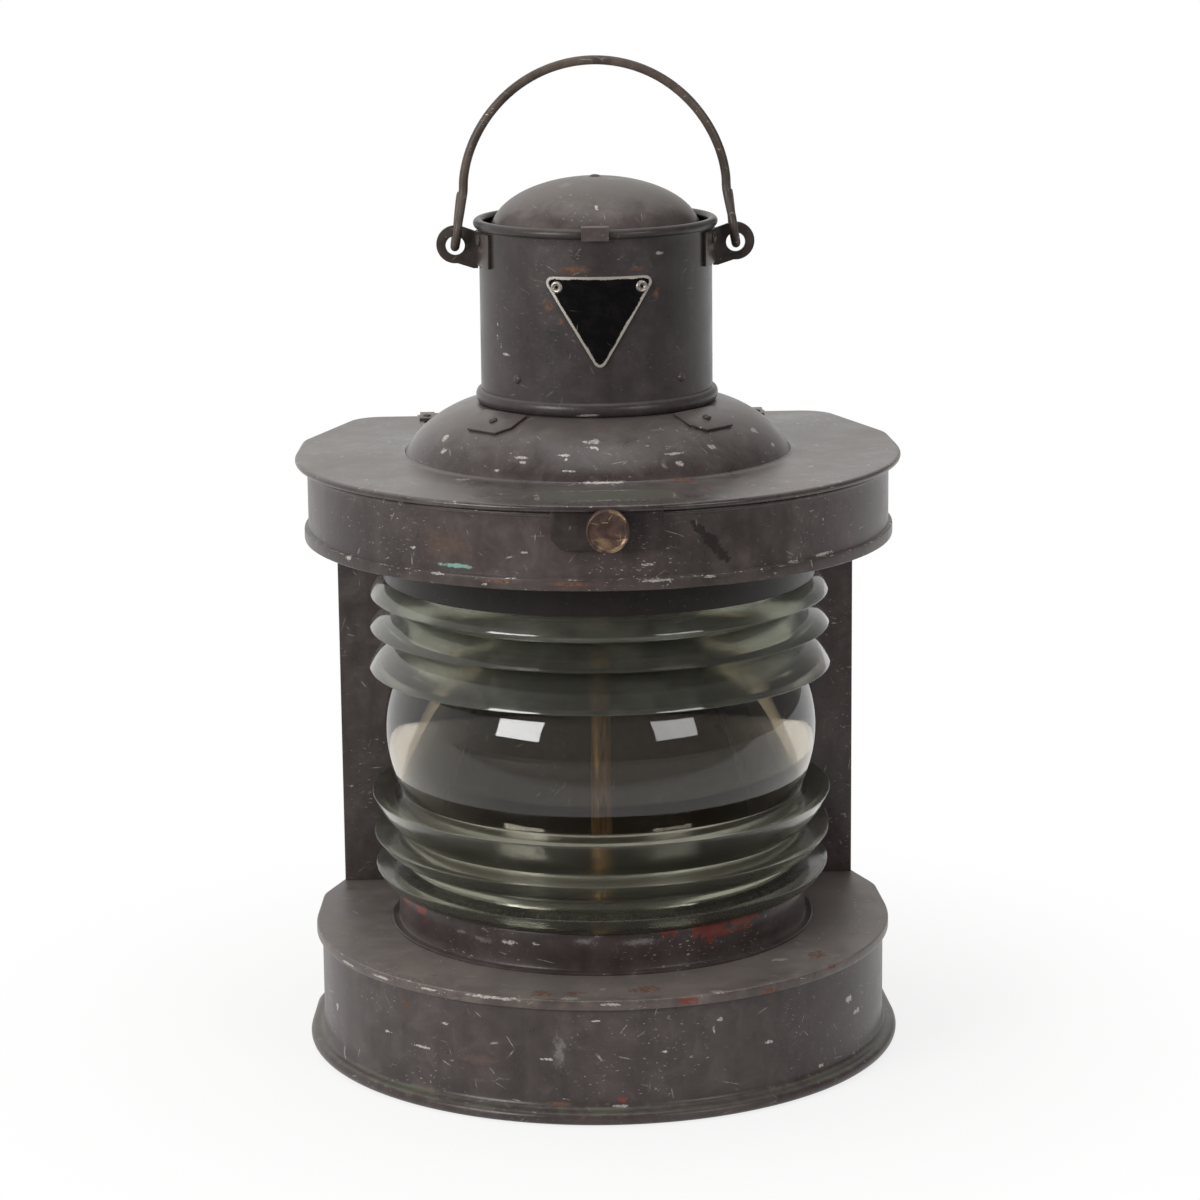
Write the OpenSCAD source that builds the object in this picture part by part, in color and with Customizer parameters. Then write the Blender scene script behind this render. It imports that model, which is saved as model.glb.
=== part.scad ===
// Ship's masthead lantern: painted sheet body, dioptric drum lens, hinged roof with chimney and bail.
// +Z is up, the front faces -Y, and the origin is on the lens axis at the foot.

/* [Body outline] */
// Radius of the round front of the body wall
body_r = 152; // [140:1:165]
// Taper of the straight sides, in degrees
side_taper = 3; // [1:0.5:5]
// Slope of the trimmed back corners, in degrees
corner_slope = 20; // [14:1:26]
// Length of the straight side, from the round front to the trimmed corner
side_run = 35; // [28:1:42]
// Distance from the axis to the flat back
back_reach = 112; // [104:1:122]
// Radius where a side runs into a trimmed corner
side_soft_r = 30; // [20:1:40]
// Radius where a trimmed corner meets the flat back
back_soft_r = 12; // [8:1:16]

/* [Sheet metal] */
// Thickness of the body sheet
sheet = 1.2; // [0.8:0.1:1.6]
// Clearance between pieces that only touch
gap = 0.3; // [0.2:0.05:0.4]

/* [Base] */
// Height of the base, floor to top plate
base_h = 65.3; // [55:0.1:80]
// How far the folded lip stands out from the wall
lip_out = 3; // [2.4:0.1:4]
// Height of the folded lip
lip_h = 5.3; // [4:0.1:8]
// Radius of the rolled foot
foot_roll_r = 3.5; // [2.5:0.1:4.5]
// How far the rolled foot stands out from the wall
foot_out = 7.5; // [7.2:0.1:10]

/* [Lens] */
// Height of the middle of the belt above the foot
lens_mid_z = 171.1; // [160:0.1:200]
// Radius of the belt at its middle
belt_r = 116; // [112:0.5:120]
// Radius of the glass at the roots of the belt and the prisms
root_r = 108.4; // [106:0.2:110]
// Half the height of the belt
belt_half = 32; // [28:0.5:36]
// Outer radius of the prism rings
prism_r = 123.3; // [119:0.1:128]
// Heights of the three prism rings, from the belt outwards
prism_h = [21.5, 15.1, 15.3];
// Fall of each prism's ledge from its root to its outer edge
ledge_fall = [2.2, 2.7, 5.4];
// Radius of the glass at its two ends
end_r = 112.6; // [110:0.2:114]
// Inner radius of the glass
bore_r = 104; // [98:0.5:105]
// Height of the plain band at the top of the glass
top_band_h = 4.6; // [3:0.2:7]
// Distance from the axis to the cut back edges of the glass
glass_back = 62; // [55:0.5:64]

/* [Collars and screen] */
// Outer radius of the lower collar
lower_collar_r = 110; // [109:0.5:112]
// Outer radius of the upper collar
upper_collar_r = 115; // [114.4:0.2:118]
// Height of the bedding ring under the glass
bed_h = 1; // [0.6:0.1:2]
// Distance from the axis to the front of the screen plate
screen_y = 68; // [66:0.5:72]
// Half the width of the window in the screen plate
window_half = 88; // [80:1:92]

/* [Skirt] */
// Height of the skirt's lower edge above the foot
skirt_z = 276.3; // [270:0.1:300]
// Height of the skirt
skirt_h = 39.9; // [36:0.1:48]
// How far the skirt wall stands out from the base wall
skirt_out = 1.7; // [1.2:0.1:2.4]
// Height of the folded hem along the skirt's lower edge
hem_h = 6.2; // [5:0.1:8]
// How far the hem stands out from the skirt wall
hem_out = 2.2; // [1.5:0.1:3]
// Radius of the rolled top edge
top_roll_r = 1.6; // [1.3:0.1:2]
// Radius of the round part of the opening in the deck
deck_hole_r = 100; // [95:1:103]

/* [Roof] */
// How far the roof's edge stands out from the base wall
roof_out = 8; // [7:0.1:10]
// Thickness of the roof's folded edge
roof_edge_h = 3.5; // [3:0.1:5]
// Radius of the pressed dome at its foot
dome_r = 102; // [98:0.5:108]
// Height of the pressed dome above the roof plate
dome_h = 27.2; // [22:0.1:32]
// Radius of the two holes near the roof's back edge
roof_hole_r = 3.4; // [2.5:0.1:4.5]
// Distance between those two holes
roof_hole_span = 181; // [176:0.5:186]
// Distance from the axis to the line of those two holes
roof_hole_y = 98; // [92:0.5:99]

/* [Chimney] */
// Outer radius of the chimney
chimney_r = 61; // [58:0.5:64]
// Thickness of the chimney sheet
chimney_sheet = 1; // [0.8:0.1:1.2]
// Height of the chimney, from the dome to the middle of its rim
chimney_h = 94; // [88:0.5:104]
// Radius of the rolled rim
rim_r = 2.6; // [2:0.1:3]
// Height of the half-round band at the chimney's foot
band_h = 7.5; // [6:0.1:9]
// How far that band stands out from the chimney
band_out = 2.8; // [2:0.1:3.5]

/* [Cap] */
// Distance from the chimney to the cap's edge
cap_gap = 7; // [5:0.5:10]
// Height of the cap above its edge
cap_h = 23.6; // [18:0.2:30]
// Width of the strap under the cap
strap_w = 14; // [10:0.5:18]

/* [Bail and ears] */
// Distance from the axis to the holes of the ears
ear_x = 73.4; // [73:0.1:76]
// Height of those holes below the middle of the rim
ear_drop = 11.7; // [10:0.1:14]
// Radius of those holes
ear_hole_r = 5; // [4.8:0.1:5.4]
// Radius of the round end of an ear
ear_r = 9.9; // [9.5:0.1:11]
// Thickness of an ear
ear_t = 2.4; // [2:0.1:3]
// Radius of the bail's wire
wire_r = 2.4; // [2:0.1:2.6]
// Height of the bail's crown above its pivot
bail_h = 90; // [80:0.2:100]
// Radius of the bail's arch, to the middle of the wire
arch_r = 67.6; // [66.5:0.1:69]
// Clearance of the bail's loops over the bottom of the holes
loop_gap = 1.85; // [1.7:0.05:2.6]

/* [Front plate] */
// Width of the triangular plate
plate_w = 54; // [46:1:60]
// Height of the triangular plate
plate_h = 46.5; // [40:0.5:52]
// Thickness of the triangular plate
plate_t = 0.9; // [0.6:0.1:1.4]

/* [Latch] */
// Radius of the clamping knob
knob_r = 10.9; // [9:0.1:12]
// Thickness of the clamping knob
knob_t = 5; // [4:0.1:7]
// Width of the keeper plate
keeper_w = 56; // [44:1:66]
// Height of the keeper plate
keeper_h = 19.2; // [17:0.1:22]
// Thickness of the keeper plate
keeper_t = 1.4; // [1:0.1:1.8]
// Radius of the stud that the knob turns on
stud_r = 3; // [2.5:0.1:3.4]

/* [Hinges] */
// Distance from the middle to each hinge
hinge_x = 84; // [70:1:90]
// Width of a hinge
hinge_w = 24; // [18:1:30]
// Outer radius of the hinge knuckles
knuckle_r = 3.2; // [2.8:0.1:3.4]
// Radius of the hinge pins
hinge_pin_r = 1.6; // [1.2:0.1:1.8]

/* [Lamp] */
// Radius of the oil font
font_r = 62; // [50:1:70]
// Height of the oil font
font_h = 50; // [40:1:52]
// Radius of the wick tube
tube_r = 5.5; // [5:0.1:6]
// Height of the flame tip of the wick tube above the foot
tube_top = 166; // [150:1:180]
// Radius of the wick wheel knob
wick_knob_r = 8; // [6:0.5:10]
// Distance from the font's wall to the middle of its filler
filler_in = 22; // [19:0.5:26]
// Outer radius of the filler's neck
filler_r = 8; // [7:0.5:9]
// Radius of the burner's gallery
gallery_r = 20.5; // [18:0.5:24]
// Height of the burner above the font's collar
burner_h = 24; // [20:0.5:28]

/* [Hidden] */
$fn = 96;
// Radial clearance of turning fits
run_fit = 0.05;
// Radius and height of a rivet's head
rivet_r = 2.4;
rivet_h = 1.1;
// Step that stands for the round edge of a folded lip
fold_r = 0.5;

// Turn from a straight side to its trimmed corner, and the corner's distance from the axis
corner_turn = corner_slope - side_taper;
corner_reach = body_r * cos(corner_turn) + side_run * sin(corner_turn);

// Heights, bottom to top
base_top_z = base_h;
lens_low_z = lens_mid_z - belt_half - prism_h[0] - prism_h[1] - prism_h[2];
lens_high_z = lens_mid_z + belt_half + prism_h[0] + prism_h[1] + prism_h[2];
glass_top_z = lens_high_z + top_band_h;
lower_collar_z = lens_low_z - bed_h;
skirt_top_z = skirt_z + skirt_h;
roof_low_z = skirt_top_z + gap;
roof_top_z = roof_low_z + roof_edge_h;
dome_top_z = roof_top_z + dome_h;
rim_z = dome_top_z + chimney_h;
ear_z = rim_z - ear_drop;

// Pivot of the bail: the middle of the strip of ear above each hole
bridge_low_z = ear_z + ear_hole_r;
bridge_high_z = ear_z + ear_r + 0.6;
bail_z = (bridge_low_z + bridge_high_z) / 2;
loop_r = bail_z - ear_z + ear_hole_r - wire_r - loop_gap;

// Hinge axis of the roof, just clear of the roof's back edge
hinge_y = back_reach + roof_out + knuckle_r + 0.8;
hinge_z = roof_top_z - knuckle_r + 0.2;

// Front faces of the skirt, the keeper and the knob
keeper_in_r = body_r + skirt_out + top_roll_r + 2 * gap;
keeper_out_r = keeper_in_r + keeper_t;
boss_y = -(keeper_out_r + 1.2);
knob_back_y = -(body_r + roof_out + 0.5);
stud_z = roof_low_z - 8.5;

// Unit vector at an angle in plan
function unit(a) = [cos(a), sin(a)];

// Point where two lines meet, each given by the angle of its normal and its distance from the axis
function meet(a1, d1, a2, d2) = [
    (d1 * sin(a2) - d2 * sin(a1)) / sin(a2 - a1),
    (d2 * cos(a1) - d1 * cos(a2)) / sin(a2 - a1)
];

// Centres of the two round corners on the right of the outline grown by d
function side_centre(d) = meet(
    side_taper, body_r - side_soft_r, corner_slope, corner_reach - side_soft_r
);
function back_centre(d) = meet(
    corner_slope, corner_reach - back_soft_r, 90, back_reach - back_soft_r
);

// The right half of the outline grown by d, as the ends of its straight runs
function right_side(d) = [
    (body_r + d) * unit(side_taper),
    side_centre(d) + (side_soft_r + d) * unit(side_taper),
    side_centre(d) + (side_soft_r + d) * unit(corner_slope),
    back_centre(d) + (back_soft_r + d) * unit(corner_slope),
    back_centre(d) + (back_soft_r + d) * unit(90)
];

function flipped(points) = [for (i = [len(points) - 1:-1:0]) [-points[i][0], points[i][1]]];

// Depth of the straight runs inside the round corners, and the overlap of the two in degrees
hair = 0.02;
lap = 0.5;

// Slice of a disc between two angles less than 180 degrees apart
module slice(r, from, to) {
    middle = (from + to) / 2;
    intersection() {
        circle(r = r, $fn = 180);
        polygon([[0, 0], 3 * r * unit(from - lap), 9 * r * unit(middle), 3 * r * unit(to + lap)]);
    }
}

// Outline of the body: round front, tapered sides, trimmed corners and flat back, grown by d
module outline(d) {
    front_r = body_r + d;
    ends = right_side(d - hair);
    difference() {
        circle(r = front_r, $fn = 180);
        polygon(concat(
            [[0, 0], 3 * front_r * unit(side_taper + lap), [3 * front_r, 3 * front_r]],
            [[-3 * front_r, 3 * front_r], 3 * front_r * unit(180 - side_taper - lap)]
        ));
    }
    polygon(concat(ends, flipped(ends), [[0, -front_r / 2]]));
    for (side = [0, 1]) mirror([side, 0]) {
        translate(side_centre(d)) slice(side_soft_r + d, side_taper, corner_slope);
        translate(back_centre(d)) slice(back_soft_r + d, corner_slope, 90);
    }
}

// Upright band between two grown outlines
module band(outer, inner, low, high) {
    translate([0, 0, low]) linear_extrude(high - low) difference() {
        outline(outer);
        outline(inner);
    }
}

// Points of the outline grown by d, always the same number of them, from the front round to the back and home
function arc_points(centre, r, from, to, count) = [for (i = [0:count]) centre + r * unit(from + (to - from) * i / count)];
function right_points(d) = concat(
    arc_points([0, 0], body_r + d, -87, side_taper, 30),
    arc_points(side_centre(d), side_soft_r + d, side_taper, corner_slope, 3),
    arc_points(back_centre(d), back_soft_r + d, corner_slope, 90, 6)
);
function outline_points(d) = concat([[0, -body_r - d]], right_points(d), flipped(right_points(d)));

// Round section with its middle at a point, x outwards and y up, turned by an angle
function round_section(middle, r, sides, turn) = [for (k = [0:sides - 1]) middle + r * unit(turn + 360 * k / sides)];

// Roll whose section follows the whole outline
module swept_roll(section) {
    lines = [for (p = section) outline_points(p[0])];
    count = len(lines[0]);
    sides = len(section);
    verts = [for (k = [0:sides - 1], i = [0:count - 1]) [lines[k][i][0], lines[k][i][1], section[k][1]]];
    faces = [for (k = [0:sides - 1], i = [0:count - 1]) let(
        next = (i + 1) % count,
        low = k * count,
        high = ((k + 1) % sides) * count
    ) each [[low + i, high + next, low + next], [low + i, high + i, high + next]]];
    polyhedron(points = verts, faces = faces, convexity = 6);
}

// Rivet with a low round head, its foot at the origin and its head towards +Z
module rivet(r = rivet_r, h = rivet_h, shank = 0) {
    rotate_extrude() intersection() {
        translate([0, h - (r * r + h * h) / (2 * h)]) circle(r = (r * r + h * h) / (2 * h));
        square([r, h]);
    }
    if (shank > 0) translate([0, 0, -shank]) cylinder(r = r * 0.5, h = shank);
}

// Turns a child, drawn along +Z from the origin, to face outwards from the axis at an angle from the front
module on_wall(angle, radius, z) {
    rotate([0, 0, angle - 90]) translate([radius, 0, z]) rotate([0, 90, 0]) children();
}

// Half space in front of a plane across the body
module in_front_of(y) {
    translate([-300, y - 600, -10]) cube([600, 600, 600]);
}

module base_floor() {
    color("#3f3a38") linear_extrude(sheet) outline(0);
}

module base_wall() {
    color("#4a4543") {
        band(0, -sheet, sheet, base_top_z - sheet);
        band(foot_out - foot_roll_r, -sheet / 2, sheet, 2 * sheet);
        swept_roll(round_section([foot_out - foot_roll_r, foot_roll_r], foot_roll_r, 10, -90));
    }
}

module base_top() {
    color("#57514e") difference() {
        union() {
            translate([0, 0, base_top_z - sheet]) linear_extrude(sheet) outline(lip_out - sheet / 2);
            band(lip_out - fold_r, gap, base_top_z - lip_h, base_top_z);
            band(lip_out, lip_out - 1, base_top_z - lip_h + fold_r, base_top_z - fold_r);
        }
        intersection() {
            translate([0, 0, base_top_z - 3 * sheet]) cylinder(r = deck_hole_r, h = 6 * sheet);
            in_front_of(glass_back - 4);
        }
    }
}

// Sheet ring of the collars, cut flat where it meets the screen plate
module collar_ring(profile) {
    intersection() {
        rotate_extrude($fn = 180) polygon(profile);
        in_front_of(screen_y);
    }
}

module lower_collar() {
    out = lower_collar_r;
    low = base_top_z;
    high = lower_collar_z;
    color("#6b3a30") collar_ring([
        [out - sheet, low],
        [out + 4, low],
        [out + 4, low + sheet],
        [out, low + sheet],
        [out, high],
        [bore_r - 2, high],
        [bore_r - 2, high - sheet],
        [out - sheet, high - sheet]
    ]);
}

module lens_bed() {
    color("#b8ac8e") intersection() {
        translate([0, 0, lower_collar_z]) difference() {
            cylinder(r = lower_collar_r, h = bed_h);
            translate([0, 0, -1]) cylinder(r = bore_r - 1, h = bed_h + 2);
        }
        in_front_of(glass_back);
    }
}

// Root heights of the prisms above the middle of the belt
function prism_root(i) = i == 0 ? belt_half : prism_root(i - 1) + prism_h[i - 1];

// Crown of the belt, from its middle to its root
belt_curve_r = (belt_half * belt_half + pow(belt_r - root_r, 2)) / (2 * (belt_r - root_r));
function belt_point(h) = [belt_r - belt_curve_r + sqrt(pow(belt_curve_r, 2) - h * h), h];

// Outer face of a prism: a shallow crown from its sharp edge down to the next root
face_crown = 1.6;
function face_point(from, to, t) = [
    from[0] + (to[0] - from[0]) * t + face_crown * sin(180 * t) * 0.8,
    from[1] + (to[1] - from[1]) * t + face_crown * sin(180 * t) * 0.6
];
function prism_face(i) = let(
    edge = [prism_r - 0.6 * i, prism_root(i) + ledge_fall[i]],
    foot = [i == 2 ? end_r : root_r, prism_root(i) + prism_h[i]]
) [for (t = [0:0.2:1]) face_point(edge, foot, t)];

// Half of the glass's outer profile, from the middle of the belt upwards
half_profile = concat(
    [for (i = [0:8]) belt_point(belt_half * i / 8)],
    prism_face(0), prism_face(1), prism_face(2)
);
lower_profile = [for (i = [len(half_profile) - 1:-1:1]) [half_profile[i][0], -half_profile[i][1]]];

module lens() {
    top = glass_top_z - lens_mid_z;
    low = lens_low_z - lens_mid_z;
    color("#a9b8ad", 0.45) intersection() {
        translate([0, 0, lens_mid_z]) rotate_extrude($fn = 180) polygon(concat(
            [[bore_r, low]], lower_profile, half_profile, [[end_r, top], [bore_r, top]]
        ));
        in_front_of(glass_back);
    }
}

module lens_packing() {
    color("#8f8670") intersection() {
        translate([0, 0, glass_top_z]) difference() {
            cylinder(r = upper_collar_r - sheet - gap / 3, h = bed_h);
            translate([0, 0, -1]) cylinder(r = bore_r - 1, h = bed_h + 2);
        }
        in_front_of(glass_back);
    }
}

module upper_collar() {
    out = upper_collar_r;
    low = lens_high_z - 0.6;
    seat = glass_top_z + bed_h;
    color("#3c3836") collar_ring([
        [out - sheet, low],
        [out, low],
        [out, skirt_z - sheet],
        [out + 8, skirt_z - sheet],
        [out + 8, skirt_z],
        [out - sheet, skirt_z],
        [out - sheet, seat + sheet],
        [bore_r - 2, seat + sheet],
        [bore_r - 2, seat],
        [out - sheet, seat]
    ]);
}

// Upright strips that close the two cut edges of the glass
module lens_stiles() {
    inner_x = window_half - 7;
    lip_x = sqrt(pow(prism_r, 2) - pow(glass_back - 8, 2)) + gap;
    color("#4a4543") for (side = [0, 1]) mirror([side, 0, 0]) translate([0, 0, lens_low_z]) {
        translate([inner_x, glass_back + gap, 0])
        cube([lip_x + sheet - inner_x, screen_y - glass_back - gap, lens_high_z - lens_low_z - 1]);
        translate([lip_x, glass_back - 8, 0])
        cube([sheet, 8 + 2 * gap, lens_high_z - lens_low_z - 1]);
    }
}

// Half the width of the body at a distance behind the axis, on the trimmed corner grown by d
function corner_half(y, d) = (corner_reach + d - y * sin(corner_slope)) / cos(corner_slope);

module screen_plate() {
    half = corner_half(screen_y + sheet, skirt_out) - 0.2;
    color("#4a4543") translate([0, screen_y + sheet, 0]) rotate([90, 0, 0]) linear_extrude(sheet) difference() {
        translate([-half, base_top_z]) square([2 * half, skirt_z - base_top_z]);
        translate([-window_half, lens_low_z + 4]) square([2 * window_half, lens_high_z - lens_low_z - 8]);
    }
}

module back_housing() {
    color("#4a4543") difference() {
        band(skirt_out, skirt_out - sheet, base_top_z, skirt_z);
        in_front_of(screen_y + sheet);
    }
}

module skirt_deck() {
    color("#3c3836") difference() {
        translate([0, 0, skirt_z]) linear_extrude(sheet) outline(skirt_out - sheet);
        intersection() {
            translate([0, 0, skirt_z - 1]) cylinder(r = deck_hole_r, h = sheet + 2);
            in_front_of(glass_back - 4);
        }
    }
}

module skirt_band() {
    hem_reach = skirt_out + hem_out;
    color("#4a4543") difference() {
        union() {
            band(skirt_out, skirt_out - sheet, skirt_z, skirt_top_z - top_roll_r);
            band(hem_reach - fold_r, skirt_out - sheet / 2, skirt_z, skirt_z + hem_h);
            band(hem_reach, hem_reach - 1, skirt_z + fold_r, skirt_z + hem_h - fold_r);
            swept_roll(round_section([skirt_out, skirt_top_z - top_roll_r], top_roll_r, 8, 22.5));
        }
        translate([0, -body_r + foot_out, stud_z]) rotate([90, 0, 0]) cylinder(r = stud_r + 0.1, h = 2 * foot_out);
    }
}

// Stud for the knob, with a round shoulder behind the skirt wall
module latch_stud() {
    wall_y = -(body_r + skirt_out - sheet);
    color("#8a7340") translate([0, wall_y + 0.8, stud_z]) rotate([90, 0, 0]) {
        cylinder(r = stud_r, h = wall_y - knob_back_y + 0.8 + knob_t * 0.6);
        translate([0, 0, -2]) cylinder(r = 4.6, h = 2.4);
    }
}

// Round knob with a raised rim round a hollow face, drawn facing +Z
module knob_shape() {
    rim = 1.4;
    boss_h = boss_y - knob_back_y;
    rotate_extrude() polygon([
        [stud_r + run_fit, -boss_h],
        [5.5, -boss_h],
        [5.5, 0],
        [knob_r - 1, 0],
        [knob_r, 1],
        [knob_r, knob_t - 0.6],
        [knob_r - 0.6, knob_t],
        [knob_r - rim, knob_t],
        [knob_r - rim - 0.8, knob_t - 0.9],
        [0, knob_t - 0.5],
        [0, knob_t * 0.6 + gap],
        [stud_r + run_fit, knob_t * 0.6 + gap]
    ]);
}

module latch_knob() {
    color("#6a4a3c") translate([0, knob_back_y, stud_z]) rotate([90, 0, 0]) knob_shape();
}

// Keeper plate bent to the skirt, with trimmed lower corners and a slot open downwards for the stud
module keeper_plate() {
    half_angle = keeper_w / 2 / keeper_out_r * 180 / PI;
    low_z = roof_low_z - keeper_h;
    slot = stud_r + 0.8;
    trim_r = 5;
    color("#454140") difference() {
        translate([0, 0, low_z]) rotate([0, 0, 270 - half_angle])
        rotate_extrude(angle = 2 * half_angle, $fn = 180) translate([keeper_in_r, 0]) square([keeper_t, keeper_h]);
        translate([-slot, -keeper_out_r - 5, low_z - 1]) cube([2 * slot, 20, stud_z - low_z + 1]);
        translate([0, -keeper_out_r + 15, stud_z]) rotate([90, 0, 0]) cylinder(r = slot, h = 20);
        for (side = [0, 1]) mirror([side, 0, 0])
            translate([keeper_w / 2 + 1, -keeper_out_r + 15, low_z - 1]) rotate([90, 0, 0])
            rotate([0, 0, 45]) translate([-trim_r, -trim_r, 0]) cube([2 * trim_r, 2 * trim_r, 20]);
    }
}

// Hinge leaf fixed to the back of the skirt, with its middle knuckle
module skirt_hinge_leaves() {
    wall_y = back_reach + skirt_out;
    leaf_t = 1.6;
    arm_z = hinge_z - knuckle_r;
    third = hinge_w / 3 - gap;
    color("#4f4a47") for (side = [0, 1]) mirror([side, 0, 0]) translate([hinge_x, 0, 0]) difference() {
        union() {
            translate([-hinge_w / 2, wall_y + top_roll_r + gap, arm_z - 16]) cube([hinge_w, leaf_t, 14]);
            translate([-hinge_w / 2, wall_y, arm_z - 16]) cube([hinge_w, top_roll_r + gap + leaf_t, 9]);
            translate([-third / 2, wall_y + top_roll_r + gap, arm_z - 3]) cube([third, leaf_t, 3]);
            translate([-third / 2, wall_y + top_roll_r + gap, arm_z - leaf_t])
            cube([third, hinge_y - wall_y - top_roll_r - gap, leaf_t + 0.6]);
            translate([-third / 2, hinge_y, hinge_z]) rotate([0, 90, 0]) cylinder(r = knuckle_r, h = third);
        }
        translate([-hinge_w, hinge_y, hinge_z]) rotate([0, 90, 0]) cylinder(r = hinge_pin_r, h = 2 * hinge_w);
    }
}

module hinge_pins() {
    color("#7d756c") for (side = [0, 1]) mirror([side, 0, 0])
        translate([hinge_x - hinge_w / 2 - 1, hinge_y, hinge_z]) rotate([0, 90, 0]) {
            cylinder(r = hinge_pin_r, h = hinge_w + 2);
            translate([0, 0, hinge_w + 1.2]) cylinder(r = knuckle_r - 0.4, h = 1.4);
        }
}

module hinge_rivets() {
    leaf_y = back_reach + skirt_out + top_roll_r + gap + 1.6;
    color("#5d5753") for (side = [-1, 1], dx = [-1, 1])
        translate([side * hinge_x + dx * hinge_w / 3, leaf_y, hinge_z - knuckle_r - 11.5])
        rotate([-90, 0, 0]) rivet();
}

// Outer curve of the pressed dome, from its foot to the chimney
dome_in_r = chimney_r + gap;
function dome_curve(t) = let(u = 1 - t) [
    dome_in_r + (dome_r - dome_in_r) * u,
    roof_top_z + dome_h * pow(1 - pow(u, 1.7), 0.74)
];

module roof_plate() {
    steps = 14;
    outer = concat([[dome_r, roof_top_z - sheet / 2]], [for (i = [0:steps]) dome_curve(i / steps) + [0, 0.05]]);
    inner = [for (i = [steps:-1:0]) dome_curve(i / steps) - [i < steps ? 0.9 : 0, 1.1]];
    edge_r = roof_edge_h / 2;
    color("#6d6663") difference() {
        union() {
            difference() {
                translate([0, 0, roof_top_z - sheet]) linear_extrude(sheet) outline(roof_out - edge_r);
                translate([0, 0, roof_top_z - 5]) cylinder(r = dome_r - 0.6, h = 10);
            }
            swept_roll(round_section([roof_out - edge_r, roof_low_z + edge_r], edge_r, 8, 22.5));
            band(roof_out - edge_r - 0.4, roof_out - 6, roof_low_z, roof_top_z - 0.4);
            rotate_extrude($fn = 180) polygon(concat(outer, inner));
        }
        for (side = [-1, 1])
            translate([side * roof_hole_span / 2, roof_hole_y, roof_top_z - 10]) cylinder(r = roof_hole_r, h = 20);
    }
}

// Hinge leaf laid on the roof, with its two outer knuckles
module roof_hinge_leaves() {
    leaf_t = 1.4;
    third = hinge_w / 3;
    color("#4f4a47") for (side = [0, 1]) mirror([side, 0, 0]) translate([hinge_x, 0, 0]) difference() {
        union() {
            translate([-hinge_w / 2, roof_hole_y + roof_hole_r + 1, roof_top_z])
            cube([hinge_w, hinge_y - knuckle_r - 0.8 - roof_hole_y - roof_hole_r - 1, leaf_t]);
            for (x = [-hinge_w / 2, hinge_w / 2 - third]) {
                translate([x, hinge_y - knuckle_r - 1, roof_top_z]) cube([third, knuckle_r + 1, leaf_t]);
                translate([x, hinge_y, hinge_z]) rotate([0, 90, 0]) cylinder(r = knuckle_r, h = third);
                translate([x, hinge_y - 1.2, hinge_z]) cube([third, 2.4, roof_top_z - hinge_z + 0.2]);
            }
        }
        translate([-hinge_w, hinge_y, hinge_z]) rotate([0, 90, 0])
        cylinder(r = hinge_pin_r + run_fit, h = 2 * hinge_w);
    }
}

module roof_hinge_rivets() {
    color("#5d5753") for (side = [-1, 1], dx = [-1, 1])
        translate([side * hinge_x + dx * hinge_w / 3, back_reach - 1.5, roof_top_z + 1.4]) rivet();
}

module chimney() {
    color("#4f4a47") {
        translate([0, 0, dome_top_z - 3]) difference() {
            cylinder(r = chimney_r, h = rim_z - dome_top_z + 3, $fn = 180);
            translate([0, 0, -1]) cylinder(r = chimney_r - chimney_sheet, h = chimney_h + 10, $fn = 180);
        }
        rotate_extrude($fn = 180) translate([chimney_r + 0.4, rim_z]) circle(r = rim_r, $fn = 32);
    }
}

module chimney_band() {
    low = dome_top_z + 0.1;
    color("#4f4a47") rotate_extrude($fn = 180) intersection() {
        translate([chimney_r, low]) square([band_out, band_h]);
        translate([chimney_r + band_out - band_h * 0.6, low + band_h / 2]) circle(r = band_h * 0.6, $fn = 48);
    }
}

module chimney_rivets() {
    color("#5d5753") for (angle = [-44, 44])
        on_wall(angle, chimney_r, dome_top_z + 17.8) rivet(1.8, 1.2);
}

// Slope of the dome where the lugs lie
lug_low = dome_curve(0.66);
lug_high = dome_curve(0.97);
lug_tilt = atan2(lug_high[1] - lug_low[1], lug_low[0] - lug_high[0]);

// Places a child, drawn in a plane with x across and y up the slope, on the dome
module on_dome(angle) {
    rotate([0, 0, angle]) translate([0, -lug_low[0], lug_low[1] + 0.7]) rotate([lug_tilt, 0, 0]) children();
}

module dome_lugs() {
    reach = norm(lug_high - lug_low) - 1.2;
    color("#5a5451") for (angle = [-47, 47]) on_dome(angle) linear_extrude(1.2)
        polygon([[-9, 0], [9, 0], [15, 4.5], [15, reach], [-15, reach], [-15, 4.5]]);
}

module lug_rivets() {
    color("#5d5753") for (angle = [-47, 47]) on_dome(angle) translate([0, 5.5, 1.2]) rivet(2, 1);
}

// Radius of the cap at its edge, and the sphere that it is part of
cap_r = chimney_r - cap_gap;
cap_ball_r = (cap_r * cap_r + cap_h * cap_h) / (2 * cap_h);
cap_ball_z = rim_z + cap_h - cap_ball_r;

// Line of the cap, set in by a distance: between that ball and a fuller bowl with upright sides
function cap_line(inset, low) = concat([[cap_r - inset, low]], [for (a = [0:7.5:90]) let(
    up = cap_h * sin(a),
    ball = sqrt(pow(cap_ball_r, 2) - pow(rim_z + up - cap_ball_z, 2)),
    share = (cap_r - inset) / cap_r
) [a == 90 ? 0 : share * (0.65 * cap_r * cos(a) + 0.35 * ball), rim_z + up * (cap_h - inset) / cap_h]]);

// Bowl between two of those lines
module cap_shell(outer, inner, low) {
    inside = cap_line(inner, low);
    rotate_extrude($fn = 144)
        polygon(concat(cap_line(outer, low), [for (i = [len(inside) - 1:-1:0]) inside[i]]));
}

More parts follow.
